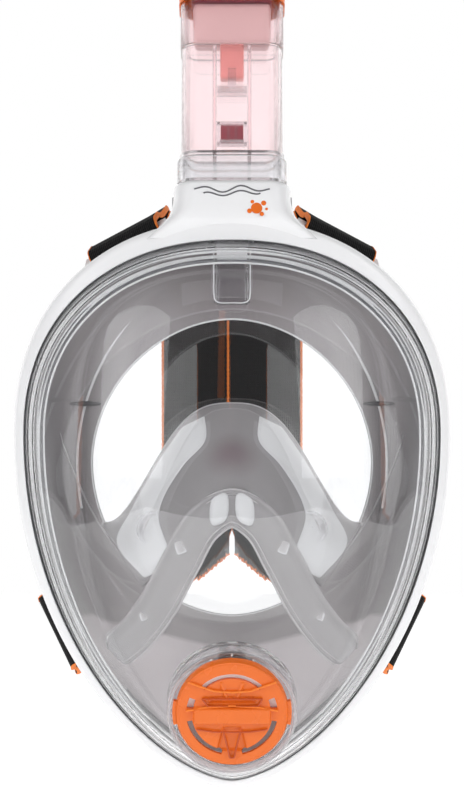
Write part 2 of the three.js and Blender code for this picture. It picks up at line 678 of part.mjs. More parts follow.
add(snorkel, 'snorkel_base', snorkelBase(), 'clear');
add(snorkel, 'snorkel_gasket', snorkelGasket(), 'silicone');
add(snorkel, 'snorkel_tube', snorkelTube(), 'pinkClear');
add(snorkel, 'float_guide', floatGuide(), 'clear');
add(snorkel, 'channel_cage', channelCage(), 'clear');
add(snorkel, 'channel_flap', channelFlap(), 'darkRed');
add(snorkel, 'dry_top_housing', dryTopHousing(), 'pinkClear');
add(snorkel, 'float', float(), 'salmon');
add(snorkel, 'float_seal', floatSeal(), 'darkRed');
add(snorkel, 'float_seat', floatSeat(), 'pinkClear');
add(snorkel, 'dry_top_cap', dryTopCap(), 'orange');
add(snorkel, 'release_button', releaseButton(), 'orange');

for (const [side, hand] of [[1, 'right'], [-1, 'left']]) {
  add(mask, `frame_screw_${hand}`, frameScrew(side), 'steel');
  const seat = add(mask, `inhalation_seat_${hand}`, inhalationSeat(), 'clear');
  const flap = add(mask, `inhalation_flap_${hand}`, inhalationFlap(), 'silicone');
  seat.applyMatrix4(portMatrix(side));
  flap.applyMatrix4(portMatrix(side));
  add(mask, `strap_back_${hand}`, strapBack(side), 'webbing');
}

for (const [level, side, hand] of CLIPS) {
  const clip = add(mask, `strap_clip_${level}_${hand}`, strapClip(level), 'clipGrey');
  const pin = add(mask, `clip_pin_${level}_${hand}`, clipPin(), 'steel');
  clip.applyMatrix4(clipMatrix(level, side));
  pin.applyMatrix4(clipMatrix(level, side));
  add(mask, `strap_arm_${level}_${hand}`, ribbon(strapRoute(level, side)), 'webbing');
}

export default mask;
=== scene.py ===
"""Full-face snorkelling mask: the fine surfaces and finishes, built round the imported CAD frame.

Lengths are in millimetres until make() turns them into metres. +Z is up and -Y is the way the wearer looks.
"""
import math
from functools import partial

import bmesh
import bpy
import numpy as np
from mathutils import Matrix, Vector


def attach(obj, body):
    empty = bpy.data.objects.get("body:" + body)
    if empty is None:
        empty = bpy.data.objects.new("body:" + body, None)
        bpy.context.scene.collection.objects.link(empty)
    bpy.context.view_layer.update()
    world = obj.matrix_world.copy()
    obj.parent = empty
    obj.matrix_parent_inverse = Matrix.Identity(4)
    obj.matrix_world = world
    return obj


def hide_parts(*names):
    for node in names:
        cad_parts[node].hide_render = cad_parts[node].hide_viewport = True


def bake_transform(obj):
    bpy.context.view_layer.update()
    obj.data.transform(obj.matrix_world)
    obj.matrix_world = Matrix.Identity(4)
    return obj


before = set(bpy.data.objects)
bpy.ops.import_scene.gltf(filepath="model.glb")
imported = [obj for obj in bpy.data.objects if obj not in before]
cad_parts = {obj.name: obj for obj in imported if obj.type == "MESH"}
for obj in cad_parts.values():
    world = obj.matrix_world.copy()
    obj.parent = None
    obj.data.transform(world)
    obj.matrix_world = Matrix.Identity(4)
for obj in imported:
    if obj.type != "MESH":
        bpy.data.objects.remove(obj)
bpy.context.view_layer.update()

MM = 0.001
ROOT = "frame"
SIDES = (("right", 1), ("left", -1))

# ---------------------------------------------------------------- driving dimensions, as in the CAD model
AROUND = 288
RIM_FRONT, RIM_WRAP, FRAME_HALF_WIDTH = -18.0, 30.0, 95.0
# egg-shaped outlines: half width, height above the widest line, height below it
OUTSIDE = (95.0, 92.0, 150.0)
CHAMFER = (94.0, 90.8, 149.0)
WALL = (92.4, 88.0, 147.5)
FLANGE = (92.1, 86.8, 147.0)
WINDOW = (90.2, 83.0, 145.8)
SEAT = (88.3, 81.0, 144.0)
FACE_LINE, FACE_WRAP = -12.0, 27.0
OPENING = (61.0, 61.9, 65.6)
RIDGE = (68.5, 84.0, 87.0)
LENS_EDGE = (75.0, 67.5, 136.5)
LENS_EDGE_DEPTH, LENS_CROWN, LENS_CENTRE, LENS_WALL = 26.5, 13.5, -20.0, 2.2
VALVE = {"height": -114.6, "depth": -57.0, "tilt": 18.0, "bore": 25.1, "outer": 26.8, "deep": 14.0}
COVER_RADIUS, LUG_RADIUS = 23.3, 24.7
SNORKEL = {"height": 93.0, "depth": -9.0, "lean": 14.0}
COLLAR = {"x": 25.0, "y": 16.5, "round": 10.0, "top": 12.3}
SOCKET = {"x": 22.8, "y": 14.2, "round": 8.0, "floor": 1.4}
DUCT = {"x": 7.5, "front": -21.8, "back": -13.5, "bottom": 55.6, "top": 91.5, "wall": 1.2}
STRAP = {
    "width": 34.0, "thick": 2.0, "back": 124.0, "offset": 15.3, "high": 54.0, "low": -32.0, "layer": 2.4
}
CLIP = {"inset": 5.0, "ear": 20.1, "bar": 15.2, "loop": 3.9}
CLIP_ANGLE = {"upper": 61.0, "lower": -33.5}
CLIP_PITCH = {"upper": 22.0, "lower": 17.0}

snorkel_matrix = Matrix.Translation((0, SNORKEL["depth"], SNORKEL["height"])) @ Matrix.Rotation(
    -math.radians(SNORKEL["lean"]), 4, "X"
)
valve_matrix = Matrix.Translation((0, VALVE["depth"], VALVE["height"])) @ Matrix.Rotation(
    math.radians(90 + VALVE["tilt"]), 4, "X"
)


# ---------------------------------------------------------------- camera, stage and light
def aim(obj, target):
    obj.rotation_euler = (Vector(target) - obj.location).to_track_quat("-Z", "Y").to_euler()


def add_camera():
    data = bpy.data.cameras.new("camera")
    camera = bpy.data.objects.new("camera", data)
    bpy.context.scene.collection.objects.link(camera)
    distance, seen_height, sensor, level = 1.25, 0.3453, 36.0, 0.0152
    data.sensor_fit = "VERTICAL"
    data.sensor_height = sensor
    data.lens = sensor * distance / seen_height
    camera.location = (0, -distance, level)
    aim(camera, (0, 0, level))
    bpy.context.scene.camera = camera


def area_light(name, place, size, power):
    """A rectangular light aimed at the mask, which reflections and the lens do not show."""
    data = bpy.data.lights.new(name, "AREA")
    data.shape = "RECTANGLE"
    data.size, data.size_y = size
    data.energy = power
    light = bpy.data.objects.new(name, data)
    bpy.context.scene.collection.objects.link(light)
    light.location = place
    light.visible_glossy = False
    aim(light, (0, 0, 0))


def add_node(tree, kind, inputs=None, **settings):
    """A shader node; each of its inputs takes a value or the output of another node."""
    node = tree.nodes.new("ShaderNode" + kind)
    for name, value in settings.items():
        setattr(node, name, value)
    for name, value in (inputs or {}).items():
        if isinstance(value, bpy.types.NodeSocket):
            tree.links.new(value, node.inputs[name])
        else:
            node.inputs[name].default_value = value
    return node


def ramp(tree, source, stops):
    """Greys along a ramp; each stop is a position and a brightness."""
    node = add_node(tree, "ValToRGB", {"Fac": source})
    elements = node.color_ramp.elements
    while len(elements) < len(stops):
        elements.new(0.5)
    for element, (position, value) in zip(elements, stops):
        element.position = position
        element.color = (value, value, value, 1)
    return node.outputs["Color"]


def map_range(tree, source, low, high):
    return add_node(tree, "MapRange", {"From Min": low, "From Max": high, "Value": source}).outputs[0]


def blend_color(tree, share, first, second, **settings):
    inputs = {"Factor": share, "A": first, "B": second}
    return add_node(tree, "Mix", inputs, data_type="RGBA", **settings).outputs["Result"]


def calculate(tree, operation, *values):
    return add_node(tree, "Math", dict(enumerate(values)), operation=operation).outputs[0]


def add_world():
    """Bright behind and in a band towards the front, dark between, so that clear edges draw themselves.

    The camera itself sees plain white.
    """
    world = bpy.data.worlds.new("studio")
    bpy.context.scene.world = world
    world.use_nodes = True
    tree = world.node_tree
    tree.nodes.clear()
    coordinates = add_node(tree, "TexCoord")
    way = add_node(tree, "SeparateXYZ", {0: coordinates.outputs["Generated"]}).outputs
    depth_stops = [
        (0, 0.1), (0.19, 0.14), (0.24, 0.95), (0.3, 0.95), (0.35, 0.08), (0.6, 0.06), (0.74, 0.9), (1, 1)
    ]
    height_stops = [(0, 0.5), (0.3, 0.85), (0.42, 1), (0.7, 1), (0.85, 0.35), (1, 0.5)]
    depth = ramp(tree, map_range(tree, way["Y"], -1, 1), depth_stops)
    height = ramp(tree, map_range(tree, way["Z"], -1, 1), height_stops)
    product = blend_color(tree, 1, depth, height, blend_type="MULTIPLY")
    studio = add_node(tree, "Background", {"Color": product, "Strength": 1.25})
    white = add_node(tree, "Background", {"Color": (1, 1, 1, 1), "Strength": 1.0})
    seen = add_node(tree, "LightPath").outputs["Is Camera Ray"]
    pick = add_node(tree, "MixShader", {"Fac": seen, 1: studio.outputs[0], 2: white.outputs[0]})
    add_node(tree, "OutputWorld", {"Surface": pick.outputs[0]})


def add_stage():
    """A white floor under the mask, and three lights in front of it."""
    mesh = bpy.data.meshes.new("floor")
    reach, level = 1.6, -0.175
    corners = [
        (-reach, -reach, level), (reach, -reach, level), (reach, reach, level), (-reach, reach, level)
    ]
    mesh.from_pydata(corners, [], [(0, 1, 2, 3)])
    floor = bpy.data.objects.new("floor", mesh)
    bpy.context.scene.collection.objects.link(floor)
    finish = {"Base Color": (0.95, 0.95, 0.95, 1), "Roughness": 0.9}
    finish |= {"Emission Color": (1, 1, 1, 1), "Emission Strength": 0.6}
    mesh.materials.append(new_material("floor_white", finish)[0])
    area_light("softbox_top", (0, -1.5, 1.5), (2.0, 0.9), 8)
    for hand, side in (("left", -1), ("right", 1)):
        area_light(f"softbox_{hand}", (side * 1.6, -1.3, 0.5), (1.1, 1.1), 13)
    bpy.context.scene.view_settings.view_transform = "Standard"


# ---------------------------------------------------------------- materials
def new_material(name, inputs):
    material = bpy.data.materials.new(name)
    material.use_nodes = True
    tree = material.node_tree
    shader = tree.nodes["Principled BSDF"]
    for key, value in inputs.items():
        shader.inputs[key].default_value = value
    return material, tree, shader


def noise(tree, scale, **inputs):
    vector = add_node(tree, "TexCoord").outputs["Object"]
    return add_node(tree, "TexNoise", {"Vector": vector, "Scale": scale, **inputs}).outputs["Fac"]


def add_bump(tree, shader, height, strength, distance):
    inputs = {"Height": height, "Strength": strength, "Distance": distance}
    tree.links.new(add_node(tree, "Bump", inputs).outputs["Normal"], shader.inputs["Normal"])


def uneven(name, tones, scale, roughness, fine, inputs, grain=None):
    """A material whose colour and roughness drift over the surface; grain is a scale and a strength."""
    material, tree, shader = new_material(name, inputs)
    low, high = tones
    color = blend_color(tree, noise(tree, scale, Detail=3.0), (*low, 1), (*high, 1))
    tree.links.new(color, shader.inputs["Base Color"])
    span = {"Value": noise(tree, fine), "To Min": roughness[0], "To Max": roughness[1]}
    tree.links.new(add_node(tree, "MapRange", span).outputs[0], shader.inputs["Roughness"])
    if grain:
        add_bump(tree, shader, noise(tree, grain[0], Detail=4.0), grain[1], 0.0002)
    return material


def see_through(material, share, shadow=True):
    """Mixes in plain transparency; for shadow rays it is complete, so that light reaches what is inside."""
    tree = material.node_tree
    clear = add_node(tree, "BsdfTransparent").outputs[0]
    solid = tree.nodes["Principled BSDF"].outputs[0]
    surface = add_node(tree, "MixShader", {"Fac": share, 1: solid, 2: clear}).outputs[0]
    if shadow:
        ray = add_node(tree, "LightPath").outputs["Is Shadow Ray"]
        surface = add_node(tree, "MixShader", {"Fac": ray, 1: surface, 2: clear}).outputs[0]
    tree.links.new(surface, tree.nodes["Material Output"].inputs["Surface"])
    return material


def white_gloss():
    coat = {"Coat Weight": 0.4, "Coat Roughness": 0.08}
    tones = (0.83, 0.83, 0.845), (0.88, 0.88, 0.89)
    return uneven("frame_white_gloss", tones, 14, (0.16, 0.26), 90, coat, (900, 0.05))


def clear_plastic(name, low, high, ior=1.5, share=0.12, roughness=(0.02, 0.05)):
    inputs = {"Transmission Weight": 1.0, "IOR": ior}
    return see_through(uneven(name, (low, high), 22, roughness, 60, inputs), share)


def silicone(name, low, high, transmission, share, roughness=(0.24, 0.36), bump=0.12):
    inputs = {"Transmission Weight": transmission, "IOR": 1.41}
    grain = (700, bump) if bump else None
    return see_through(uneven(name, (low, high), 18, roughness, 120, inputs, grain), share, shadow=False)


def moulded(name, low, high, roughness=(0.2, 0.32), bump=0.08, scale=26):
    return uneven(name, (low, high), scale, roughness, 110, {}, (800, bump))


def steel():
    tones = (0.52, 0.52, 0.54), (0.66, 0.66, 0.68)
    return uneven("pin_steel", tones, 160, (0.22, 0.38), 300, {"Metallic": 1.0})


def webbing():
    """Elastic webbing: fine ribs along the strap, a cross weave and a fuzz of fibres."""
    material, tree, shader = new_material(
        "strap_webbing_weave", {"Roughness": 0.85, "Specular IOR Level": 0.2}
    )
    place = add_node(tree, "SeparateXYZ", {0: add_node(tree, "TexCoord").outputs["UV"]}).outputs

    def wave(length, per_millimetre):
        return calculate(tree, "SINE", calculate(tree, "MULTIPLY", length, 2 * math.pi * per_millimetre))

    ribs, picks = wave(place["X"], 1.1), wave(place["Y"], 0.8)
    weave = calculate(tree, "MULTIPLY_ADD", picks, 0.35, ribs)
    height = calculate(tree, "MULTIPLY_ADD", noise(tree, 650), 0.9, weave)
    low, high = (0.004, 0.004, 0.0045, 1), (0.026, 0.0255, 0.026, 1)
    tree.links.new(
        blend_color(tree, map_range(tree, height, -1.0, 2.0), low, high), shader.inputs["Base Color"]
    )
    add_bump(tree, shader, height, 0.7, 0.0003)
    return material


def distance_from(tree, place):
    vector = add_node(tree, "TexCoord").outputs["Object"]
    return add_node(tree, "VectorMath", {0: vector, 1: place}, operation="DISTANCE").outputs["Value"]


def tint(tree, share, color):
    """Turns the base colour towards another one where the share falls to zero."""
    base = tree.nodes["Principled BSDF"].inputs["Base Color"]
    tree.links.new(blend_color(tree, share, color, base.links[0].from_socket), base)


def cup_silicone():
    """Grey silicone with painted shade: a little darker and warmer over the hollow of the nose bridge."""
    low, high = (0.3, 0.285, 0.29), (0.35, 0.335, 0.34)
    material = silicone("cup_grey_silicone", low, high, 0.15, 0.1, roughness=(0.14, 0.22), bump=0)
    tree = material.node_tree
    # painted shade: darker and warmer near a point over the nose bridge
    bridge = distance_from(tree, (0, -0.038, -0.008))
    tint(tree, map_range(tree, bridge, 0.003, 0.013), (0.24, 0.2, 0.21, 1))
    return material


def skirt_silicone():
    """Warm grey silicone with painted light and shade: paler in the chin pocket, darker out at the rim and
    behind the duct.
    """
    low, high = (0.31, 0.285, 0.29), (0.36, 0.335, 0.34)
    material = silicone("skirt_grey_silicone", low, high, 0.05, 0.0, roughness=(0.2, 0.28), bump=0)
    tree = material.node_tree
    vector = add_node(tree, "TexCoord").outputs["Object"]
    place = add_node(tree, "SeparateXYZ", {0: vector}).outputs
    side = calculate(tree, "ABSOLUTE", place["X"])
    chin_light_line = calculate(tree, "MULTIPLY_ADD", side, -0.22, place["Z"])
    duct = distance_from(tree, (0, -0.02, 0.07))
    # painted shade: darker out towards the rim
    tint(tree, map_range(tree, side, 0.086, 0.066), (0.2, 0.195, 0.2, 1))
    # painted shade: darker around the duct
    tint(tree, map_range(tree, duct, 0.012, 0.04), (0.21, 0.18, 0.185, 1))
    # painted light: paler below a V line across the chin pocket
    tint(tree, map_range(tree, chin_light_line, -0.0937, -0.0915), (0.7, 0.65, 0.66, 1))
    return material


MATERIALS = {
    "white": white_gloss(),
    "lens": clear_plastic(
        "lens_polycarbonate",
        (0.93, 0.94, 0.955),
        (0.97, 0.975, 0.985),
        ior=1.5,
        share=0.1,
        roughness=(0.0, 0.02),
    ),
    "clear": clear_plastic(
        "fittings_clear_plastic",
        (0.72, 0.71, 0.73),
        (0.84, 0.83, 0.85),
        ior=1.45,
        share=0.18,
        roughness=(0.06, 0.14),
    ),
    "pink": clear_plastic(
        "snorkel_pink_plastic",
        (0.88, 0.75, 0.765),
        (0.93, 0.82, 0.83),
        ior=1.4,
        share=0.2,
        roughness=(0.05, 0.12),
    ),
    # near-white silicone: painted highlights on the cup's flanks and the retainer's pads
    "flank": silicone(
        "cup_flank_silicone",
        (0.62, 0.62, 0.63),
        (0.95, 0.95, 0.96),
        0.05,
        0.14,
        roughness=(0.1, 0.16),
        bump=0,
    ),
    "skirt": skirt_silicone(),
    "cup": cup_silicone(),
    "band": silicone(
        "retainer_frosted", (0.4, 0.385, 0.39), (0.45, 0.435, 0.44), 0.1, 0.2, roughness=(0.1, 0.16), bump=0
    ),
    # pale silicone for small fittings; also painted highlights and painted light on the lens wall, the
    # skirt's lip and crest, the duct, and behind the cover's slots
    "pearl": silicone(
        "cup_pearl_silicone",
        (0.88, 0.88, 0.89),
        (0.95, 0.95, 0.96),
        0.05,
        0.1,
        roughness=(0.1, 0.16),
        bump=0,
    ),
    # dark silicone for the skirt's marks; also painted shade in a ring along the skirt's rim
    "skirt_dark": silicone("skirt_dark_silicone", (0.1, 0.1, 0.105), (0.16, 0.155, 0.16), 0.1, 0.0),
    "pale": silicone("valve_pale_silicone", (0.56, 0.54, 0.55), (0.66, 0.64, 0.65), 0.3, 0.1),
    "orange": moulded("orange_gloss_plastic", (0.74, 0.135, 0.01), (0.82, 0.17, 0.016)),
    "orange_dark": moulded("orange_shadow_plastic", (0.45, 0.06, 0.006), (0.52, 0.08, 0.01)),
    "salmon": moulded("float_salmon_plastic", (0.78, 0.31, 0.29), (0.86, 0.4, 0.38), roughness=(0.35, 0.5)),
    "blush": moulded("float_blush_plastic", (0.66, 0.46, 0.46), (0.74, 0.54, 0.54), roughness=(0.35, 0.5)),
    "dark_red": moulded("flap_red_silicone", (0.2, 0.03, 0.05), (0.3, 0.06, 0.08), roughness=(0.4, 0.55)),
    "clip": moulded("clip_grey_plastic", (0.6, 0.6, 0.62), (0.7, 0.7, 0.72), roughness=(0.3, 0.45)),
    # dark grey for print, the frame seam and small parts; also painted shade lines at the collar's sides and
    # on the lens wall
    "ink": moulded("collar_ink_and_shade_grey", (0.1, 0.1, 0.11), (0.16, 0.16, 0.17), roughness=(0.35, 0.5)),
    # orange thread for the strap edging; also painted highlight lines on the exhaust cover
    "thread": moulded(
        "edge_thread_and_highlight_orange",
        (0.75, 0.15, 0.012),
        (0.95, 0.27, 0.04),
        roughness=(0.6, 0.85),
        bump=0.6,
        scale=900,
    ),
    "webbing": webbing(),
    "steel": steel(),
}


# ---------------------------------------------------------------- meshes from grids of points
def grid_faces(rows, columns, loop_rows=False, loop_columns=True, start=0):
    faces = []
    for r in range(rows if loop_rows else rows - 1):
        for c in range(columns if loop_columns else columns - 1):
            a = start + r * columns + c
            b = start + r * columns + (c + 1) % columns
            across = start + ((r + 1) % rows) * columns
            faces.append((a, b, across + (c + 1) % columns, across + c))
    return faces


def shell(rows, loop_rows=False, loop_columns=True, caps=True):
    """Points and faces through rows of equal length; open ends are capped."""
    rows = np.asarray(rows, float)
    count, columns = rows.shape[:2]
    faces = grid_faces(count, columns, loop_rows, loop_columns)
    if caps and not loop_rows and loop_columns:
        faces.append(tuple(reversed(range(columns))))
        faces.append(tuple(range((count - 1) * columns, count * columns)))
    return rows.reshape(-1, 3), faces


def merged(*parts):
    points, faces = [], []
    for part_points, part_faces in parts:
        offset = sum(len(p) for p in points)
        points.append(np.asarray(part_points, float))
        faces.extend(tuple(i + offset for i in face) for face in part_faces)
    return np.concatenate(points), faces


def placed(part, matrix):
    points, faces = part
    turned = np.array(matrix)[:3, :3]
    return np.asarray(points) @ turned.T + np.array(matrix)[:3, 3], faces


def face_outwards(mesh):
    work = bmesh.new()
    work.from_mesh(mesh)
    bmesh.ops.recalc_face_normals(work, faces=work.faces)
    work.to_mesh(mesh)
    work.free()


def make(name, part, material, body, slot, replaces=(), sharp=32, matrix=None, uv=None):
    points, faces = placed(part, matrix) if matrix is not None else part
    mesh = bpy.data.meshes.new(name)
    mesh.from_pydata([tuple(p) for p in np.asarray(points) * MM], [], faces)
    if uv is not None:
        layer = mesh.uv_layers.new(name="UVMap")
        loops = np.empty(len(mesh.loops), np.int32)
        mesh.loops.foreach_get("vertex_index", loops)
        layer.data.foreach_set("uv", np.asarray(uv, np.float32)[loops].ravel())
    face_outwards(mesh)
    mesh.shade_smooth()
    mesh.set_sharp_from_angle(angle=math.radians(sharp))
    mesh.materials.append(MATERIALS[material])
    obj = bpy.data.objects.new(name, mesh)
    bpy.context.scene.collection.objects.link(obj)
    if body:
        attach(obj, body)
    if replaces:
        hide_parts(*replaces)
    return obj


def apply_modifiers(obj, sharp=32):
    view = bpy.context.evaluated_depsgraph_get()
    mesh = bpy.data.meshes.new_from_object(obj.evaluated_get(view))
    obj.modifiers.clear()
    obj.data = mesh
    mesh.shade_smooth()
    mesh.set_sharp_from_angle(angle=math.radians(sharp))


def carve(obj, *cutters, sharp=32):
    """Cuts other parts, given as points and faces in millimetres, out of an object."""
    for i, cutter in enumerate(cutters):
        points, faces = cutter
        mesh = bpy.data.meshes.new(f"cutter_{i}")
        mesh.from_pydata([tuple(p) for p in np.asarray(points) * MM], [], faces)
        face_outwards(mesh)
        tool = bpy.data.objects.new(f"cutter_{i}", mesh)
        bpy.context.scene.collection.objects.link(tool)
        modifier = obj.modifiers.new("cut", "BOOLEAN")
        modifier.operation = "DIFFERENCE"
        modifier.solver = "EXACT"
        modifier.object = tool
        apply_modifiers(obj, sharp)
        bpy.data.objects.remove(tool)


def thicken(obj, thickness, levels=1, offset=0.0):
    solid = obj.modifiers.new("thickness", "SOLIDIFY")
    solid.thickness = thickness * MM
    solid.offset = offset
    solid.use_even_offset = True
    if levels:
        smooth = obj.modifiers.new("smooth", "SUBSURF")
        smooth.levels = smooth.render_levels = levels
    apply_modifiers(obj, 60)


def unit(v):
    v = np.asarray(v, float)
    return v / np.maximum(np.linalg.norm(v, axis=-1, keepdims=True), 1e-9)


def soften(rows, radii, steps=5, closed=False):
    """Rounds the corners of a profile of stations: each corner becomes a short curve."""
    rows = np.asarray(rows, float)
    count = len(rows)
    out = []
    for i, radius in enumerate(radii):
        ends = not closed and i in (0, count - 1)
        if radius <= 0 or ends:
            out.append(rows[i])
            continue
        before, after = rows[(i - 1) % count] - rows[i], rows[(i + 1) % count] - rows[i]
        reach_before = np.minimum(radius, 0.48 * np.linalg.norm(before, axis=-1, keepdims=True))
        reach_after = np.minimum(radius, 0.48 * np.linalg.norm(after, axis=-1, keepdims=True))
        first = rows[i] + unit(before) * reach_before
        last = rows[i] + unit(after) * reach_after
        for t in np.linspace(0, 1, steps):
            out.append((1 - t) ** 2 * first + 2 * t * (1 - t) * rows[i] + t**2 * last)
    return np.array(out)


def lathe(profile, steps=96, loop=True):
    """A turned part round Z from (radius, height) points."""
    turns = np.linspace(0, 2 * math.pi, steps, endpoint=False)
    rows = [np.stack([r * np.cos(turns), r * np.sin(turns), np.full(steps, z)], -1) for r, z in profile]
    return shell(rows, loop_rows=loop)


def rounded_rectangle(half_x, half_y, radius, height, corner=10):
    quarter = np.linspace(0, math.pi / 2, corner)
    points = []
    for k, (sx, sy) in enumerate([(1, 1), (-1, 1), (-1, -1), (1, -1)]):
        turn = quarter + k * math.pi / 2
        cx, cy = sx * (half_x - radius), sy * (half_y - radius)
        points.append(
            np.stack([cx + radius * np.cos(turn), cy + radius * np.sin(turn), np.full(corner, height)], -1)
        )
    return np.concatenate(points)


def box_part(low, high, edge=0.4):
    """A block with rounded upright edges and softened rims."""
    (x0, y0, z0), (x1, y1, z1) = low, high
    half_x, half_y = (x1 - x0) / 2, (y1 - y0) / 2
    edge = min(edge, half_x * 0.95, half_y * 0.95, (z1 - z0) * 0.45)
    centre = np.array([(x0 + x1) / 2, (y0 + y1) / 2, 0])
    rows = []
    for inset, height in [
        (edge, z0), (edge * 0.3, z0 + edge * 0.3), (0, z0 + edge), (0, z1 - edge),
        (edge * 0.3, z1 - edge * 0.3), (edge, z1),
    ]:
        rows.append(
            rounded_rectangle(
                half_x - inset, half_y - inset, max(edge - inset, edge * 0.2), height, corner=4
            ) + centre,
        )
    return shell(rows)


# ---------------------------------------------------------------- the rim's shape
turn_angles = np.linspace(0, 2 * math.pi, AROUND, endpoint=False)


def egg(outline, angles=turn_angles, centre=0.0, round_top=2.2, point=0.625):
    half, top, chin = outline
    c, s = np.cos(angles), np.sin(angles)
    side, width, rise = np.sign(c), np.abs(c), np.maximum(s, 0)
    upper = s >= 0
    x = np.where(upper, side * half * width ** (2 / round_top), side * half * width ** (2 * point))
    z = centre + np.where(upper, top * rise ** (2 / round_top), chin * s)
    return x, z


def rim_plane(x):
    return RIM_FRONT + RIM_WRAP * (x / FRAME_HALF_WIDTH) ** 2


def face_plane(x):
    return FACE_WRAP * (x / RIDGE[0]) ** 2


def on_rim(outline, offset, angles=turn_angles):
    x, z = egg(outline, angles)
    return np.stack([x, rim_plane(x) + offset, z], -1)


def on_face(outline, offset, angles=turn_angles):
    x, z = egg(outline, angles, FACE_LINE, 1.9, 0.55)
    return np.stack([x, face_plane(x) + offset, z], -1)


def rim_axes(degrees, side):
    """A point of the rim with the directions along it, backwards and outwards."""

    def place(turn):
        x, z = egg(OUTSIDE, np.array([turn]))
        return np.array([side * x[0], rim_plane(x[0]), z[0]])

    turn, step = math.radians(degrees), 0.02
    along = unit(place(turn - side * step) - place(turn + side * step))
    outwards = unit(np.array([-along[2], 0, along[0]]))
    return place(turn), along, np.cross(outwards, along), outwards


def clip_matrix(level, side):
    at, along, back, outwards = rim_axes(CLIP_ANGLE[level], side)
    pin = at + np.array([0, 12.8, 0]) - outwards * CLIP["inset"]
    matrix = Matrix.Identity(4)
    for column, axis in enumerate((along, back, outwards)):
        for row in range(3):
            matrix[row][column] = axis[row]
    matrix.translation = Vector(pin)
    return matrix


# ---------------------------------------------------------------- frame
def front_frame():
    section = [
        on_rim(OUTSIDE, 6.1),
        on_rim(OUTSIDE, -6.4),
        on_rim(WINDOW, -7.4),
        on_rim(WINDOW, -4.5),
        on_rim(WALL, -4.5),
        on_rim(WALL, 6.1),
    ]
    section = soften(section, [0.8, 3.4, 0.9, 0.3, 0.2, 0.4], steps=6, closed=True)
    rim = shell(section, loop_rows=True)
    make("front_frame_rim", rim, "white", ROOT, "frame_white", replaces=["front_frame"])


def snorkel_collar():
    """The collar's foot spreads over the arch of the rim like a saddle."""
    steps = [
        (12.0, -6.0, -12.0), (8.4, -3.4, -8.6), (4.6, -1.2, -5.0), (2.0, -0.2, -1.8), (0.8, 0, 1.6),
        (0.1, 0, 5.0),
    ]
    rows = [
        rounded_rectangle(COLLAR["x"] + ex, COLLAR["y"] + ey, COLLAR["round"] + min(ey, 0), z)
        for ex, ey, z in steps
    ]
    top = COLLAR["top"]
    rows.append(rounded_rectangle(COLLAR["x"], COLLAR["y"], COLLAR["round"], top - 2.2))
    for inset, height in [(0.3, top - 1.2), (0.9, top - 0.5), (1.6, top - 0.1), (2.0, top)]:
        rows.append(
            rounded_rectangle(COLLAR["x"] - inset, COLLAR["y"] - inset, COLLAR["round"] - inset, height)
        )
    rows.append(rounded_rectangle(SOCKET["x"], SOCKET["y"], SOCKET["round"], top - 0.3))
    rows.append(rounded_rectangle(SOCKET["x"], SOCKET["y"], SOCKET["round"], SOCKET["floor"]))
    body = shell(rows)
    add = partial(make, body=ROOT, slot="frame_white", replaces=["snorkel_collar"], matrix=snorkel_matrix)
    collar = add("snorkel_collar_body", body, "white")
    inside = shell([on_rim(WALL, -5.5), on_rim(WALL, 60.0)])
    button = placed(box_part((-6.9, 10, 2.9), (6.9, 25, 8.4), 0.8), snorkel_matrix)
    carve(collar, inside, button)
    # painted shade: a thin dark line down each side edge of the collar
    seams = []
    for side in (-1, 1):
        edge = [(side * (COLLAR["x"] + flare + 0.1), 0.0, height) for flare, _, height in steps]
        edge.append((side * (COLLAR["x"] + 0.1), 0.0, top - 3.0))
        seams.append(line_part(smooth_line(edge, 50), np.linspace(0.9, 0.5, 50)))
    add("snorkel_collar_seams", merged(*seams), "ink")
    add_collar_marks()


def line_part(points, radius, sides=8):
    """A thin round bead along points."""
    points = np.asarray(points, float)
    along = unit(np.gradient(points, axis=0))
    first = unit(np.cross(along, np.broadcast_to((0.12, 1.0, 0.05), along.shape)))
    second = np.cross(along, first)
    turns = np.linspace(0, 2 * math.pi, sides, endpoint=False)
    radius = np.broadcast_to(radius, len(points))
    rows = [
        [p + r * (a * math.cos(t) + b * math.sin(t)) for t in turns]
        for p, a, b, r in zip(points, first, second, radius)
    ]
    return shell(np.array(rows))


def add_collar_marks():
    """Generic decoration on the flat front: two thin waves and a few drops."""
    face = -COLLAR["y"] - 0.02
    marks = []
    for height, reach, tall in ((7.9, 16.0, 1.5), (6.0, 12.0, 1.2)):
        x = np.linspace(-reach, reach, 70)
        swing = tall * np.sin(x / 2.6) * np.cos(np.pi * x / reach / 2) ** 0.5
        marks.append(line_part(np.stack([x, np.full(70, face), height + swing], -1), 0.34))
    make("snorkel_collar_waves", merged(*marks), "ink", ROOT, "flap_red", matrix=snorkel_matrix)
    drops = []
    for x, z, radius in [
        (10.4, -0.6, 2.4), (13.4, 1.6, 1.1), (7.4, -1.8, 1.0), (12.6, -3.2, 0.9), (8.6, 2.2, 0.8),
        (14.6, -1.0, 0.6),
    ]:
        profile = [(0.05, 0.12), (radius * 0.6, 0.1), (radius, 0.0), (radius, -0.3), (0.05, -0.3)]
        turned = Matrix.Translation((x, face, z)) @ Matrix.Rotation(math.radians(90), 4, "X")
        drops.append(placed(lathe(profile, 24, loop=False), turned))
    make("snorkel_collar_drops", merged(*drops), "orange", ROOT, "orange_gloss", matrix=snorkel_matrix)


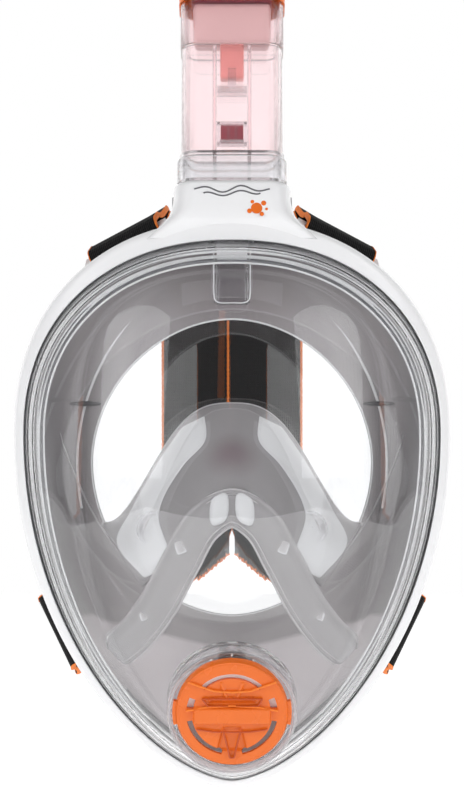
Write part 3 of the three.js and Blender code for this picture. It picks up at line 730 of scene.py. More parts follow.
def rear_frame():
    add = partial(make, body=ROOT, slot="frame_white", replaces=["rear_frame"])
    section = [
        on_rim(FLANGE, 1.5),
        on_rim(FLANGE, 6.4),
        on_rim(OUTSIDE, 6.4),
        on_rim(OUTSIDE, 8.2),
        on_rim(CHAMFER, 8.6),
        on_rim(SEAT, 8.6),
        on_rim(SEAT, 1.5),
    ]
    section = soften(section, [0.3, 0.2, 0.4, 1.0, 0.6, 0.9, 0.4], steps=5, closed=True)
    add("rear_frame_ring", shell(section, loop_rows=True), "white")
    grown = tuple(v + 0.3 for v in OUTSIDE)
    seam = [on_rim(CHAMFER, 5.7), on_rim(grown, 5.8), on_rim(grown, 6.7), on_rim(CHAMFER, 6.8)]
    add("rear_frame_seam", shell(seam, loop_rows=True), "ink", slot="clip_grey")
    for level in ("upper", "lower"):
        for hand, side in SIDES:
            places = [end * CLIP["ear"] for end in (-1, 1)]
            ears = merged(*[box_part((x - 1.5, -5.4, -3.2), (x + 1.5, 3.2, 3.2), 1.0) for x in places])
            add(f"rear_frame_ears_{level}_{hand}", ears, "white", matrix=clip_matrix(level, side))


# ---------------------------------------------------------------- lens
def lens_face_depth(x, z, depth, crown):
    """Depth of the viewing face: one smooth dome over the rim's wrap."""
    down = np.where(z < LENS_CENTRE, LENS_EDGE[2] + LENS_CENTRE, LENS_EDGE[1] - LENS_CENTRE)
    share = (x / LENS_EDGE[0]) ** 2 + ((z - LENS_CENTRE) / down) ** 2
    return rim_plane(x) - depth - crown * (1 - share)


def lens_face_row(edge, depth, share):
    x, z = egg(edge)
    x, z = x * share, LENS_CENTRE + (z - LENS_CENTRE) * share
    return np.stack([x, lens_face_depth(x, z, depth, LENS_CROWN), z], -1)


def lens():
    add = partial(make, body=ROOT, slot="lens_clear", replaces=["lens"])
    shares = [0.01, 0.12, 0.25, 0.38, 0.5, 0.62, 0.74, 0.85, 0.93, 1]
    outer = [lens_face_row(LENS_EDGE, LENS_EDGE_DEPTH, share) for share in shares]
    walls = [((83.5, 75.8, 141.8), -20.5), ((84.8, 77.0, 142.4), -18.6), ((85.6, 77.3, 142.7), -18.2)]
    walls += [((87.3, 79.3, 143.9), -14.6), ((88.2, 79.8, 144.2), -14.1), ((88.8, 81.0, 144.9), -10.5)]
    walls += [((89.8, 82.6, 145.4), -4.4), (FLANGE, -4.2)]
    outer += [on_rim(outline, offset) for outline, offset in walls]
    outer = soften(outer, [0] * 9 + [6, 2, 0.4, 0.4, 1.2, 0.4, 0.8, 0.5, 0], steps=6)
    inner_edge = (LENS_EDGE[0] - 1.6, LENS_EDGE[1] - 1.4, LENS_EDGE[2] - 1.6)
    inner = [lens_face_row(inner_edge, LENS_EDGE_DEPTH - LENS_WALL, share) for share in shares]
    inner += [
        on_rim((81.6, 74.1, 139.6), -18.5),
        on_rim((86.2, 78.2, 142.2), -11.5),
        on_rim((87.4, 80.2, 143), -1.7),
        on_rim(FLANGE, -1.7),
    ]
    inner = soften(inner, [0] * 9 + [6, 5, 4, 0.4, 0], steps=6)
    obj = add("lens_shell", shell(np.concatenate([outer, inner[::-1]])), "lens", sharp=28)
    bore = placed(
        lathe([(VALVE["outer"] + 0.15, -40), (VALVE["outer"] + 0.15, 20)], loop=False), valve_matrix
    )
    duct = box_part(
        (-DUCT["x"] - 0.3, DUCT["front"] - 0.3, 50), (DUCT["x"] + 0.3, DUCT["back"] + 0.3, 99), 0.3
    )
    carve(obj, bore, duct, sharp=28)
    outside, inside, deep = VALVE["outer"], VALVE["bore"], VALVE["deep"]
    ring = [
        (outside, -deep), (outside, -1.2), (outside - 0.5, -0.1), (inside + 0.5, 0), (inside, -0.8),
        (inside, -deep),
    ]
    add("lens_valve_ring", lathe(ring, 144), "lens", matrix=valve_matrix)
    # Thin beads along the lens wall: painted highlight streaks and painted dark streaks, standing in for
    # reflections in the clear rim.
    bright = [
        ring_bead(on_rim((84.6, 76.6, 140.6), -9.5), 0.55),
        ring_bead(on_rim((79.6, 72.2, 138.0), -18.0), 0.4),
    ]
    add("lens_bright_ribs", merged(*bright), "pearl", sharp=60)
    dark = [
        ring_bead(on_rim((80.6, 73.2, 138.8), -17.4), 0.45),
        ring_bead(on_rim((86.4, 78.6, 142.2), -6.0), 0.5),
    ]
    add("lens_dark_ribs", merged(*dark), "ink", sharp=60)


# ---------------------------------------------------------------- exhaust valve
def arc_distance(x, y, radius_low, radius_high, start, end):
    """How deep a point lies inside a slot that follows an arc, in millimetres; negative outside."""
    radius = np.hypot(x, y)
    turn = np.degrees(np.arctan2(y, x)) % 360
    middle, half = (start + end) / 2, (end - start) / 2
    off = np.abs((turn - middle + 180) % 360 - 180)
    return np.minimum(
        np.minimum(radius - radius_low, radius_high - radius), np.radians(half - off) * radius
    )


def add_to_cover(name, part, material):
    """A piece that turns with the exhaust cover."""
    return make(
        name, part, material, "exhaust_cover", "orange_gloss", ["exhaust_cover"], matrix=valve_matrix
    )


def exhaust_cover():
    slots = [
        (15.4, 17.8, 44, 136), (16, 19, 157, 173), (16, 19, 7, 23), (16.6, 19, 191, 256),
        (16.6, 19, 284, 349),
    ]
    radii = np.concatenate(
        [np.linspace(0.3, 15, 34), np.linspace(15.2, 19.2, 14), np.linspace(19.6, COVER_RADIUS, 9)]
    )
    steps = 240
    turns = np.linspace(0, 2 * math.pi, steps, endpoint=False)
    radius, turn = np.meshgrid(radii, turns, indexing="ij")
    x, y = radius * np.cos(turn), radius * np.sin(turn)

    def ramp(depth, width=0.8):
        return np.clip(depth / width, 0, 1) ** 2 * (3 - 2 * np.clip(depth / width, 0, 1))

    panel = ramp(np.minimum(16.2 - np.abs(x), 3.9 - np.abs(y + 0.6)))
    upper = ramp(np.minimum(11.2 - np.abs(x) - 0.5 * (y - 3), np.minimum(y - 4.6, 7.6 - y)))
    rib = ramp(np.minimum(3.6 + 0.25 * (-4 - y) - np.abs(x), np.minimum(-5.6 - y, y + 17)), 1.2)
    ridges = sum(
        ramp(1.0 - np.abs(x - s * (2.5 + 0.35 * (y - 8))), 0.8) * (y > 7.5) * (radius < 15) for s in (-1, 1)
    )
    height = -1.3 + 1.9 * panel - 1.3 * upper - 1.4 * rib + 0.7 * ridges
    height = height - 1.1 * ramp(radius - (COVER_RADIUS - 1.6), 1.6)
    points = np.stack([x, y, height], -1).reshape(-1, 3)
    faces = grid_faces(len(radii), steps)
    centre = points[np.array(faces)].mean(1)
    open_cell = np.zeros(len(faces), bool)
    for slot in slots:
        open_cell |= arc_distance(centre[:, 0], centre[:, 1], *slot) > 0
    faces = [face for face, opened in zip(faces, open_cell) if not opened]
    faces.append(tuple(reversed(range(steps))))
    disc = add_to_cover("exhaust_cover_disc", (points, faces), "orange")
    thicken(disc, 1.8, levels=0, offset=-1.0)
    edge = COVER_RADIUS
    rim = [(edge, -5.6), (edge, -2.0), (edge - 0.5, -1.2), (edge - 1.9, -1.6), (edge - 2, -5.6)]
    add_to_cover("exhaust_cover_rim", lathe(rim, 120), "orange")
    add_cover_relief()
    lugs = []
    for side in (-1, 1):
        across = np.radians(np.linspace(-12.5, 12.5, 9))
        rows = []
        for r, z in [(edge - 1.2, -4.6), (LUG_RADIUS, -4.4), (LUG_RADIUS, -2.2), (edge - 1.2, -2.0)]:
            rows.append(np.stack([side * r * np.cos(across), r * np.sin(across), np.full(9, z)], -1))
        points, faces = shell(rows, loop_rows=True, loop_columns=False, caps=False)
        count = 9
        faces.append(tuple(k * count for k in range(4)))
        faces.append(tuple(k * count + count - 1 for k in reversed(range(4))))
        lugs.append((points, faces))
    add_to_cover("exhaust_cover_lugs", merged(*lugs), "orange")


def add_cover_relief():
    """Creased edges of the grip pattern drawn in painted shade, two ridge lines in painted highlight, and a
    pale plate behind the three upper slots as painted light seen through them.
    """
    creases = [
        [(-12.2, 7.0), (12.5, 7.0), (10.8, 3.8), (-10, 3.8), (-12.2, 7.0)],
        [(-14.7, -6.6), (-7.5, -7.7), (0, -7.9), (7.5, -7.7), (14.7, -6.6)],
        [(-3.4, -8), (-2.4, -12), (-0.9, -19.4), (0.9, -19.4), (2.4, -12), (3.4, -8)],
        [(-18.3, 14.5), (-7.5, 10.5), (0, 9.9), (7.5, 10.5), (18.3, 14.5)],
        [(-19, 1.6), (-11, 3.2), (0, 3.9), (11, 3.2), (19, 1.6)],
    ]
    lines = []
    for crease in creases:
        points = np.array(crease, float)
        steps = np.linspace(0, len(points) - 1, 60)
        points = np.stack([np.interp(steps, np.arange(len(points)), points[:, k]) for k in (0, 1)], -1)
        lines.append(line_part(np.column_stack([points, np.full(60, -0.35)]), 0.42))
    # painted shade along the creases
    add_to_cover("exhaust_cover_crease_shade", merged(*lines[:3]), "orange_dark")
    # painted highlights along two ridges
    add_to_cover("exhaust_cover_ridge_highlights", merged(*lines[3:]), "thread")
    # a pale plate behind the upper slots: painted light seen through them
    turns = np.linspace(0, math.pi, 60)
    rows = [
        np.stack([r * np.cos(turns), r * np.sin(turns), np.full(60, z)], -1)
        for r, z in [(14, -3.2), (20, -3.2), (20, -4), (14, -4)]
    ]
    add_to_cover(
        "exhaust_cover_light_plate",
        shell(np.array(rows), loop_rows=True, loop_columns=False, caps=False),
        "pearl",
    )


# ---------------------------------------------------------------- soft parts
def drop_on(obj, places, lift=0.0):
    """Points on the front of an object at the given x and z, in millimetres.

    A point past the object's edge takes its depth from its neighbours.
    """
    depths = []
    for x, z in places:
        hit, where, _, _ = obj.ray_cast(Vector((x * MM, -0.3, z * MM)), Vector((0, 1, 0)))
        depths.append(where.y / MM - lift if hit else math.nan)
    depths = np.array(depths)
    on = np.flatnonzero(~np.isnan(depths))
    depths = np.interp(np.arange(len(depths)), on, depths[on])
    places = np.asarray(places, float)
    return np.stack([places[:, 0], depths, places[:, 1]], -1)


def mirrored(places):
    return [(-x, z) for x, z in places]


def face_skirt():
    add = partial(make, body=ROOT, slot="silicone_grey", replaces=["face_skirt"], sharp=60)
    start = on_rim((86.3, 78.7, 142.2), 0)
    ridge = on_face(RIDGE, -0.4)
    middle = (start + ridge) / 2
    bulge = unit(middle * np.array([1, 0, 1])) * 2.6
    lip = on_face(OPENING, 0.0)
    inner = on_face(tuple(v + 6.0 for v in OPENING), -0.6)
    rolled = on_face(tuple(v + 1.4 for v in OPENING), 1.7)
    rows = [on_rim(FLANGE, 0), start, middle + bulge, ridge, inner, lip, rolled]
    rows = soften(rows, [0, 5, 12, 9, 12, 1.2, 0], steps=7)
    skirt = add("face_skirt_wall", shell(rows, caps=False), "skirt")
    thicken(skirt, 1.7, levels=0)
    # painted shade: a ring of dark silicone along the rim
    edge = [
        on_rim(FLANGE, -1.3),
        on_rim((84.2, 76.6, 140.2), -1.9),
        on_rim((83.8, 76.2, 139.8), -1.0),
        on_rim(FLANGE, -0.9),
    ]
    edge = soften(edge, [0.1, 0.6, 0.3, 0.1], steps=3, closed=True)
    add("face_skirt_edge", shell(edge, loop_rows=True), "skirt_dark")
    crest = on_face(tuple(v - 1 for v in RIDGE), -1.5)
    crest = np.roll(crest, -np.argmin(crest[:, 2]), 0)
    crest = crest[crest[:, 2] > -34]
    # painted highlights: pale beads along the opening's lip and the ridge's crest
    beads = [ring_bead(on_face(OPENING, -0.9), 0.4), line_part(crest, 0.7)]
    add("face_skirt_beads", merged(*beads), "pearl")
    seam = [(-76, 0.6), (-68, -19), (-60, -35), (-51, -48), (-44, -56), (-37, -61), (-31, -62)]
    seams = []
    for places in (seam, mirrored(seam)):
        route = smooth_line([(x, 0, z) for x, z in places], 60)[:, [0, 2]]
        seams.append(line_part(drop_on(skirt, route, 0.2), 0.42))
    add("face_skirt_seams", merged(*seams), "pale")
    marks = []
    for side in (-1, 1):
        x = np.linspace(57, 70.5, 24) * side
        places = drop_on(skirt, [(v, 13.5) for v in x], 0.5)
        marks.append(line_part(places, 0.35 + 0.75 * np.sin(np.linspace(0.05, math.pi - 0.05, 24)) ** 0.8))
    add("face_skirt_marks", merged(*marks), "skirt_dark")


def ring_bead(points, radius, sides=8):
    """A round bead along a closed line of points."""
    along = unit(np.roll(points, -1, 0) - np.roll(points, 1, 0))
    first = unit(np.cross(along, np.broadcast_to((0.0, 1.0, 0.0), along.shape)))
    second = np.cross(along, first)
    turns = np.linspace(0, 2 * math.pi, sides, endpoint=False)
    rows = [points + radius * (first * math.cos(t) + second * math.sin(t)) for t in turns]
    return shell(np.array(rows), loop_rows=True)


CUP_HALF = 56.0


def nose_line(x):
    return -12.4 + 26 * np.cos(math.pi * (np.minimum(np.abs(x), 54) / 54) ** 1.4)


def band_plane(x):
    return -51 + 27 * (x / 52) ** 2


def cup_surface(along, down):
    """The cup's outer skin: along runs from cheek to cheek, down from the nose bridge to the band."""
    x_up = CUP_HALF * along
    upper = np.stack([x_up, -10 + 22 * np.abs(along) ** 1.5, nose_line(x_up)], -1)
    x_low = 37 * np.sign(along) * np.abs(along) ** 1.1
    lower = np.stack([x_low, band_plane(x_low) + 3, -27 - 36.5 * np.abs(along) ** 1.25], -1)
    point = upper + (lower - upper) * down[..., None]
    rise = np.sin(down * math.pi / 2) ** 0.85
    point[..., 1] = upper[..., 1] + (lower[..., 1] - upper[..., 1]) * rise
    return point


def orinasal_cup():
    add = partial(make, body=ROOT, slot="silicone_grey", replaces=["orinasal_cup"], sharp=60)
    along, down = np.meshgrid(np.linspace(-1, 1, 73), np.linspace(0, 1, 31), indexing="ij")
    skin = shell(cup_surface(along, down), loop_columns=False, caps=False)
    cup = add("orinasal_cup_shell", skin, "cup")
    thicken(cup, 1.7, levels=1)
    # near-white panels laid on both flanks of the cup: painted highlights
    outer = [(-21, 3.8), (-30.6, -9.8), (-40, -26), (-43.5, -33), (-49, -45), (-36.5, -59.4)]
    inner = [(-11.5, 8.5), (-11, -1.7), (-20, -12), (-28.5, -25.8), (-30.6, -34), (-28.5, -41), (-23, -53)]
    for hand, side in SIDES:
        edges = [
            smooth_line([(-side * x, 0, z) for x, z in edge], 40)[:, [0, 2]] for edge in (outer, inner)
        ]
        rows = [
            drop_on(cup, edges[0] + (edges[1] - edges[0]) * share, 0.1) for share in np.linspace(0, 1, 12)
        ]
        panel = shell(np.array(rows), loop_columns=False, caps=False)
        obj = add(f"orinasal_cup_flank_{hand}", panel, "flank")
        thicken(obj, 0.5, levels=1)
    rim = line_part(cup_surface(np.linspace(-1, 1, 90), np.full(90, 0.01)), 0.95)
    add("orinasal_cup_bead", rim, "pale")


def cup_retainer():
    add = partial(make, body=ROOT, slot="fittings_clear", replaces=["cup_retainer"])
    half = np.array([(0, -29.5), (12, -36.5), (21, -52), (30.5, -70), (41, -84), (51, -92.5)], float)
    route = np.concatenate([half[:0:-1] * (-1, 1), half])
    line = smooth_line(np.stack([route[:, 0], band_plane(route[:, 0]), route[:, 1]], -1), 120)
    along = unit(np.gradient(line, axis=0) * np.array([1, 0, 1]))
    across = np.stack([-along[:, 2], np.zeros(len(line)), along[:, 0]], -1)
    width, thick = 8.25, 2.2
    profile = [
        (1, 1.2), (0.98, 0.1), (0.9, -0.55), (0.8, -0.55), (0.72, 0.0), (0.35, 0.1), (-0.35, 0.1),
        (-0.72, 0.0),
    ]
    profile += [(-0.8, -0.55), (-0.9, -0.55), (-0.98, 0.1), (-1, 1.2), (-0.96, thick), (0.96, thick)]
    ends = np.minimum(np.arange(len(line)), np.arange(len(line))[::-1])
    taper = 0.45 + 0.55 * np.sqrt(1 - (1 - np.clip(ends / 7, 0, 1)) ** 2)
    rows = []
    for point, side, share in zip(line, across, taper):
        row = [point + side * w * width * share + np.array([0, d, 0]) for w, d in profile]
        rows.append(np.array(row))
        rows[-1][:, 1] += band_plane(point[0]) - point[1]
    add("cup_retainer_band", shell(rows), "band", sharp=50)
    borders = []
    for share in (-0.94, -0.7, 0.7, 0.94):
        edge = (line + across * share * width)[4:-4]
        edge[:, 1] = band_plane(edge[:, 0]) - 0.35
        borders.append(line_part(edge, 0.42 if abs(share) > 0.8 else 0.25))
    add("cup_retainer_borders", merged(*borders), "pale", sharp=60)
    tabs, latches = [], []
    for x, z in [(-21.4, -45.6), (21.4, -45.6), (-36.6, -73.8), (36.6, -73.8)]:
        y = float(band_plane(np.array(x)))
        turned = Matrix.Translation((x, y, z)) @ Matrix.Rotation(math.radians(20 * np.sign(x)), 4, "Y")
        tabs.append(placed(box_part((-2.1, -1.2, -3.1), (2.1, 1, 3.1), 0.6), turned))
        latches.append(placed(box_part((-1.5, -1.5, -2.5), (1.5, 1, 2.5), 0.4), turned))
    add("cup_retainer_tabs", merged(*tabs), "pearl")
    add("cup_retainer_latches", merged(*latches), "pale")
    # two raised pads at the apex, coloured near-white as painted highlights
    pads = []
    for side in (-1, 1):
        turns = np.linspace(0, 2 * math.pi, 28, endpoint=False)
        across, up = (np.sign(wave) * np.abs(wave) ** 0.7 for wave in (np.cos(turns), np.sin(turns)))
        shape = np.stack([side * (5.3 + 4.0 * across), -29.8 + 6.6 * up - 1.6 * across], -1)
        centre = shape.mean(0)
        rows = []
        for share, lift in [(1.0, 0.3), (0.92, 1.1), (0.7, 1.7), (0.4, 2.0), (0.08, 2.1)]:
            places = centre + (shape - centre) * share
            rows.append(np.stack([places[:, 0], band_plane(places[:, 0]) + 0.4 - lift, places[:, 1]], -1))
        pads.append(shell(np.array(rows)))
    add("cup_retainer_pads", merged(*pads), "flank", sharp=60)


def intake_duct():
    add = partial(make, body=ROOT, slot="fittings_clear", replaces=["intake_duct"])
    half, wall = DUCT["x"], DUCT["wall"]
    middle = np.array([0, (DUCT["front"] + DUCT["back"]) / 2, 0])
    clip = merged(
        box_part((-8.9, DUCT["front"] - 1.2, 79.2), (8.9, DUCT["front"] + 0.6, 82.4), 0.5),
        *[
            box_part((x - 1.1, DUCT["front"] - 1.8, 76.6), (x + 1.1, DUCT["front"] + 0.6, 83.0), 0.5)
            for x in (-8.3, 8.3)
        ],
    )
    add("intake_duct_clip", clip, "clear")
    latches = [
        box_part((x - 0.9, DUCT["front"] - 1.5, 80.2), (x + 0.9, DUCT["front"] + 0.2, 82.8), 0.4)
        for x in (-6.4, 6.4)
    ]
    add("intake_duct_latches", merged(*latches), "ink")
    # painted highlight: a pale block for the bright patch in the clear duct
    window = box_part((-6.4, DUCT["front"] - 0.5, 73.6), (6.4, DUCT["front"] + 0.2, 79.0), 0.3)
    add("intake_duct_window", window, "pearl")
    outline = [
        (-7.6, 79), (-7.6, 60), (-7.2, 57.6), (-5.6, 56.4), (0, 56.2), (5.6, 56.4), (7.2, 57.6),
        (7.6, 60), (7.6, 79),
    ]
    outline = line_part(smooth_line([(x, DUCT["front"] - 0.1, z) for x, z in outline], 90), 0.24)
    add("intake_duct_outline", outline, "pearl")
    depth = (DUCT["back"] - DUCT["front"]) / 2
    rows = [
        rounded_rectangle(half - inset, depth - inset, 1.6, height) + middle
        for inset, height in [
            (0, DUCT["top"]), (0, DUCT["bottom"] + 0.5), (0.5, DUCT["bottom"]),
            (wall, DUCT["bottom"] + 0.5), (wall, DUCT["top"]),
        ]
    ]
    add("intake_duct_tube", shell(rows, loop_rows=True), "clear")


# ---------------------------------------------------------------- snorkel
def hollow(half_x, half_y, radius, wall, low, high, lip=0.6):
    """An open tube of rounded rectangular section with softened rims."""

    def row(inset, height):
        return rounded_rectangle(half_x - inset, half_y - inset, max(radius - inset, 1), height, corner=14)

    rows = [
        row(0, low + lip),
        row(0, high - lip),
        row(lip * 0.3, high - lip * 0.3),
        row(lip, high),
        row(wall, high - 0.2),
    ]
    rows += [row(wall, low + 0.2), row(lip, low), row(lip * 0.3, low + lip * 0.3)]
    return shell(rows, loop_rows=True)


def snorkel():
    def add(name, part, material, slot, *nodes, body="snorkel"):
        return make(name, part, material, body, slot, replaces=nodes, matrix=snorkel_matrix)

    top = COLLAR["top"] + 0.3

    def row(x, y, r, z):
        return rounded_rectangle(x, y, r, z, corner=14)

    outer = [
        row(22, 13.4, 7.6, 1.9),
        row(22, 13.4, 7.6, top - 0.6),
        row(22.6, 14.2, 8.2, top),
        row(23.5, 15, 8.8, top + 0.9),
    ]
    outer += [
        row(23.4, 15, 8.8, 22.8), row(22.9, 14.5, 8.4, 23.8), row(22.3, 14, 8, 24.2), row(22.3, 14, 8, 26)
    ]
    inner = [row(19.8, 9.6, 6, 26), row(19.8, 9.6, 6, 1.9)]
    sleeve = add(
        "snorkel_base_sleeve",
        shell(outer + inner, loop_rows=True),
        "clear",
        "fittings_clear",
        "snorkel_base",
    )
    carve(sleeve, placed(box_part((-7.2, 9.9, 2.0), (7.2, 20, 9.0), 0.8), snorkel_matrix))
    add(
        "snorkel_tube_wall",
        hollow(21.7, 13.4, 7.4, 1.8, 26.3, 74.5),
        "pink",
        "snorkel_pink",
        "snorkel_tube",
    )
    ribs = merged(
        *[box_part((s * 7.5 - 0.8, -11.4, 26.5), (s * 7.5 + 0.8, 11.4, 74.3), 0.3) for s in (-1, 1)]
    )
    add("snorkel_tube_ribs", ribs, "pink", "snorkel_pink", "snorkel_tube")
    add(
        "dry_top_housing_wall",
        hollow(22.3, 14.2, 8.2, 1.6, 74.8, 99.3),
        "pink",
        "snorkel_pink",
        "dry_top_housing",
    )
    add(
        "float_block",
        box_part((-16.8, -9.6, 77), (16.8, 9.6, 94.5), 2.2),
        "blush",
        "float_salmon",
        "float",
        body="float",
    )
    add(
        "float_tongue",
        box_part((-5.1, -2.5, 62), (5.1, 2.5, 77.5), 0.9),
        "salmon",
        "float_salmon",
        "float",
        body="float",
    )
    steps = [
        (22.3, 14.2, 8.2, 99.6), (22.25, 14.15, 8.2, 100.6), (21.9, 13.9, 8.2, 101.8),
        (21.3, 13.5, 8.1, 103.4), (20.4, 12.9, 8, 105.4),
    ]
    steps += [
        (18.8, 11.9, 7.8, 107.8), (16.6, 10.4, 7.2, 109.8), (13.4, 8.4, 6.4, 111.6),
        (9.6, 6, 5, 112.8), (5, 3, 2.8, 113.5), (1, 0.6, 0.5, 113.7),
    ]
    outer = [row(*s) for s in steps]
    inner = [
        row(x - 1.7, y - 1.7, max(r - 1.7, 0.3), z - (1.7 if i else 0))
        for i, (x, y, r, z) in enumerate(steps[:-2])
    ]
    cap = add("dry_top_cap_dome", shell(inner[::-1] + outer), "orange", "orange_gloss", "dry_top_cap")
    lip = []
    for inset, low, high in [(0, 0, 1), (0.8, 0, 1), (0.8, 1, 0), (0, 1, 0)]:
        ring = row(22.95 - inset, 14.85 - inset, 8.8 - inset, 0)
        bottom = 97.6 - 2.4 * (ring[:, 0] / 22) ** 2
        ring[:, 2] = bottom * high + 99.8 * low
        lip.append(ring)
    add("dry_top_cap_lip", shell(np.array(lip), loop_rows=True), "orange", "orange_gloss", "dry_top_cap")
    slots = []
    for side in (-1, 1):
        slots += [
            box_part((side * 18 - 6, y - 1.3, 103.2), (side * 18 + 6, y + 1.3, 107), 0.9)
            for y in (-5, 0, 5)
        ]
    slots += [box_part((x - 1.6, 7, 103.2), (x + 1.6, 20, 107), 0.9) for x in (-10, -3.4, 3.4, 10)]
    carve(cap, *[placed(slot, snorkel_matrix) for slot in slots])


# ---------------------------------------------------------------- straps
def mix(t, low, high, first, last):
    return (high - t) / (high - low) * first + (t - low) / (high - low) * last


def smooth_line(points, count):
    """Points along a centripetal Catmull-Rom curve through the given ones."""
    points = np.asarray(points, float)
    padded = np.concatenate([[2 * points[0] - points[1]], points, [2 * points[-1] - points[-2]]])
    knots = np.concatenate([[0], np.cumsum(np.linalg.norm(np.diff(padded, axis=0), axis=1) ** 0.5)])
    out = []
    for t in np.linspace(knots[1], knots[-2] - 1e-6, count):
        i = min(max(np.searchsorted(knots, t, side="right") - 1, 1), len(points) - 1)
        p0, p1, p2, p3 = padded[i - 1 : i + 3]
        t0, t1, t2, t3 = knots[i - 1 : i + 3]
        first, middle, last = mix(t, t0, t1, p0, p1), mix(t, t1, t2, p1, p2), mix(t, t2, t3, p2, p3)
        out.append(mix(t, t1, t2, mix(t, t0, t2, first, middle), mix(t, t1, t3, middle, last)))
    return np.array(out)


def strap_route(level, side):
    """Centre line of an arm, from the back of the head to the free end, and the way its outer side faces."""
    matrix = np.array(clip_matrix(level, side) @ Matrix.Rotation(math.radians(CLIP_PITCH[level]), 4, "X"))

    def in_clip(y, z):
        return matrix[:3, :3] @ np.array([0, y, z]) + matrix[:3, 3]

    def facing(y, z):
        return matrix[:3, :3] @ np.array([0, y, z])

    back, offset, high, low = (STRAP[key] for key in ("back", "offset", "high", "low"))
    if level == "upper":
        over = [
            ((offset, back, high), (0, 1, 0)),
            ((offset, back - 0.6, high + 5), (0, 1, 0.1)),
            ((offset + 3, back - 9, high + 18), (0, 0.85, 0.53)),
            ((offset + 12, back - 32, high + 27), (0.1, 0.45, 0.89)),
            ((offset + 24, back - 60, high + 26.5), (0.32, 0.12, 0.94)),
        ]
    else:
        over = [
            ((offset, back, low), (0, 1, 0)),
            ((offset + 0.8, back, low - 8), (0, 1, 0)),
            ((offset + 10, back - 1, low - 22), (0.05, 1, 0)),
            ((offset + 31, back - 12, low - 37), (0.35, 0.93, -0.05)),
            ((offset + 52, back - 42, low - 47), (0.85, 0.5, -0.15)),
        ]
    layer = 0 if side > 0 else STRAP["layer"]
    mirror = np.array([side, 1, 1])
    points, facings = [], []
    for point, normal in over:
        normal = unit(normal) * mirror
        points.append(np.array(point) * mirror + normal * layer)
        facings.append(normal)
    bar, loop = CLIP["bar"], CLIP["loop"]
    points += [in_clip(bar + 22, -loop - 2), in_clip(bar + 6, -loop - 0.3)]
    facings += [facing(0, 1), facing(0, 1)]
    both = smooth_line(np.hstack([points, facings]), 90)
    arm, arm_facing = both[:, :3], unit(both[:, 3:])
    turns = np.radians(np.linspace(270, 90, 19))
    loop_points = np.array([in_clip(bar + loop * math.cos(t), loop * math.sin(t)) for t in turns])
    loop_facing = np.array([facing(-math.cos(t), -math.sin(t)) for t in turns])
    back_steps = np.arange(2, 26)
    lifts = 3 + 4 * np.exp(-np.arange(len(back_steps)) / 5)
    tail = arm[-back_steps] + arm_facing[-back_steps] * lifts[:, None]
    return np.concatenate([arm, loop_points, tail]), np.concatenate(
        [arm_facing, loop_facing, -arm_facing[-back_steps]]
    )


def strap_rows(line, facing):
    along = unit(np.gradient(line, axis=0))
    across = unit(np.cross(along, facing))
    up = np.cross(across, along)
    half, thick = STRAP["width"] / 2, STRAP["thick"] / 2
    shares = np.linspace(-1, 1, 13)
    section = [(w * half, thick) for w in shares] + [(w * half, -thick) for w in shares[::-1]]
    rows = [[p + a * w + u * h for w, h in section] for p, a, u in zip(line, across, up)]
    return np.array(rows), across, up


def edge_cord(line, across, up, side, scale=1.0):
    """The overlocked edge: a thin roll of thread with a scallop at each stitch."""
    length = np.concatenate([[0], np.cumsum(np.linalg.norm(np.diff(line, axis=0), axis=1))])
    fine = np.arange(0, length[-1], 0.55)
    centre = line + across * side * STRAP["width"] / 2
    centre, across, up = (
        np.stack([np.interp(fine, length, v[:, k]) for k in range(3)], -1) for v in (centre, across, up)
    )
    roll = 0.62 + 0.2 * np.abs(np.sin(math.pi * fine / 2.2))
    tall = 1.22 + 0.14 * np.abs(np.sin(math.pi * fine / 2.2))
    turns = np.linspace(0, 2 * math.pi, 10, endpoint=False)
    rows = [
        [c + a * w * math.cos(t) + u * h * math.sin(t) for t in turns]
        for c, a, u, w, h in zip(centre, unit(across), unit(up), roll * scale, tall)
    ]
    return shell(np.array(rows))


def strap_uv(line):
    length = np.concatenate([[0], np.cumsum(np.linalg.norm(np.diff(line, axis=0), axis=1))])
    across = np.concatenate([np.linspace(0, STRAP["width"], 13), np.linspace(STRAP["width"], 0, 13)])
    return np.stack(np.broadcast_arrays(across[None, :], length[:, None]), -1).reshape(-1, 2)


def add_strap(name, line, facing, node, blend_to=None):
    rows, across, up = strap_rows(line, facing)
    band = make(
        f"{name}_band",
        shell(rows),
        "webbing",
        None,
        "strap_webbing",
        replaces=[node],
        sharp=50,
        uv=strap_uv(line),
    )
    edges = merged(*[edge_cord(line, across, up, side, 0.6 if blend_to else 1.0) for side in (-1, 1)])
    cords = make(f"{name}_edging", edges, "thread", None, "orange_gloss", replaces=[node], sharp=60)
    for piece in (band, cords):
        if blend_to:
            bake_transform(piece)
        else:
            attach(piece, ROOT)


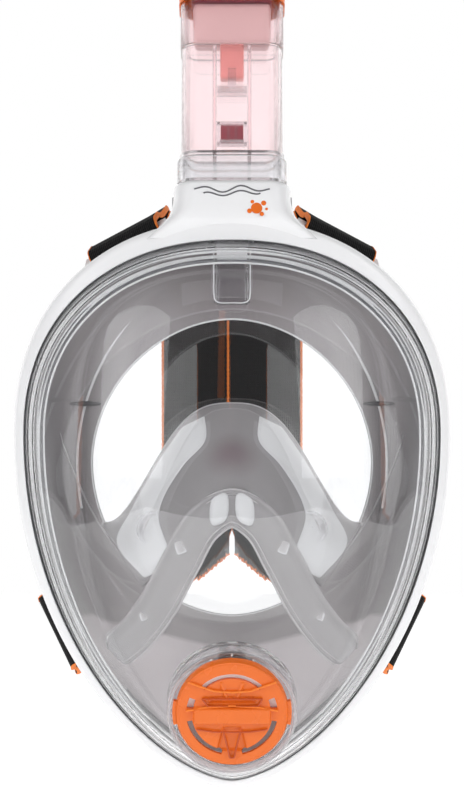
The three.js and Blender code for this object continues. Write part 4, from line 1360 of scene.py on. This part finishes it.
def add_strap_tail(hand, side):
    """The loose end of the webbing, hanging at the back of the head with a frayed slanting cut."""
    x = np.linspace(1.2, 16, 24)
    bottom = -57 - 0.85 * (x - 1.2) + 0.5 * np.sin(3.1 * x)
    front, back = STRAP["back"] - 4.6, STRAP["back"] - 3.4
    rows = []
    for y, low in ((front, False), (front, True), (back, True), (back, False)):
        rows.append(np.stack([side * x, np.full(24, y), bottom if low else np.full(24, -34.0)], -1))
    tail = shell(np.array(rows), loop_rows=True, loop_columns=False, caps=False)
    make(
        f"strap_tail_{hand}_band", tail, "webbing", ROOT, "strap_webbing", [f"strap_back_{hand}"], sharp=50
    )
    fray = line_part(
        np.stack([side * x, np.full(24, (front + back) / 2), bottom], -1), 0.75 + 0.3 * np.sin(5.3 * x)
    )
    make(f"strap_tail_{hand}_fray", fray, "thread", ROOT, "orange_gloss", [f"strap_back_{hand}"], sharp=60)


def straps():
    for hand, side in SIDES:
        depth = STRAP["back"] + (0 if side > 0 else STRAP["layer"])
        heights = np.linspace(STRAP["high"] + 0.8, STRAP["low"] - 0.8, 40)
        line = np.stack([np.full(40, side * STRAP["offset"]), np.full(40, depth), heights], -1)
        add_strap(f"strap_back_{hand}", line, np.tile([0.0, 1.0, 0.0], (40, 1)), f"strap_back_{hand}")
        add_strap_tail(hand, side)
        for level in ("upper", "lower"):
            line, facing = strap_route(level, side)
            matrix = clip_matrix(level, side)
            pin = np.array(matrix.translation)
            back = np.array(matrix)[:3, 1]
            body = f"strap_clip_{level}_{hand}"
            add_strap(
                f"strap_arm_{level}_{hand}", line, facing, f"strap_arm_{level}_{hand}",
                (body, pin + back * 70, pin + back * 26),
            )


# ---------------------------------------------------------------- small CAD parts that keep their own shape
def finish_cad_nodes():
    finishes = {
        "steel": ("frame_screw", "clip_pin"),
        "clip": ("strap_clip",),
        "clear": ("inhalation_seat", "exhaust_seat", "float_guide", "channel_cage"),
        "pale": ("inhalation_flap", "exhaust_membrane", "snorkel_gasket"),
        "dark_red": ("channel_flap", "float_seal"),
        "pink": ("float_seat",),
        "orange": ("release_button",),
    }
    for name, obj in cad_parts.items():
        kind = next((kind for kind, starts in finishes.items() if name.startswith(starts)), None)
        if kind is None:
            continue
        obj.data.materials.clear()
        obj.data.materials.append(MATERIALS[kind])
        bevel = obj.modifiers.new("edges", "BEVEL")
        bevel.width = 0.00022
        bevel.segments = 2
        bevel.limit_method = "ANGLE"
        bevel.angle_limit = math.radians(40)


add_camera()
add_world()
add_stage()
front_frame()
snorkel_collar()
rear_frame()
lens()
exhaust_cover()
face_skirt()
orinasal_cup()
cup_retainer()
intake_duct()
snorkel()
straps()
finish_cad_nodes()
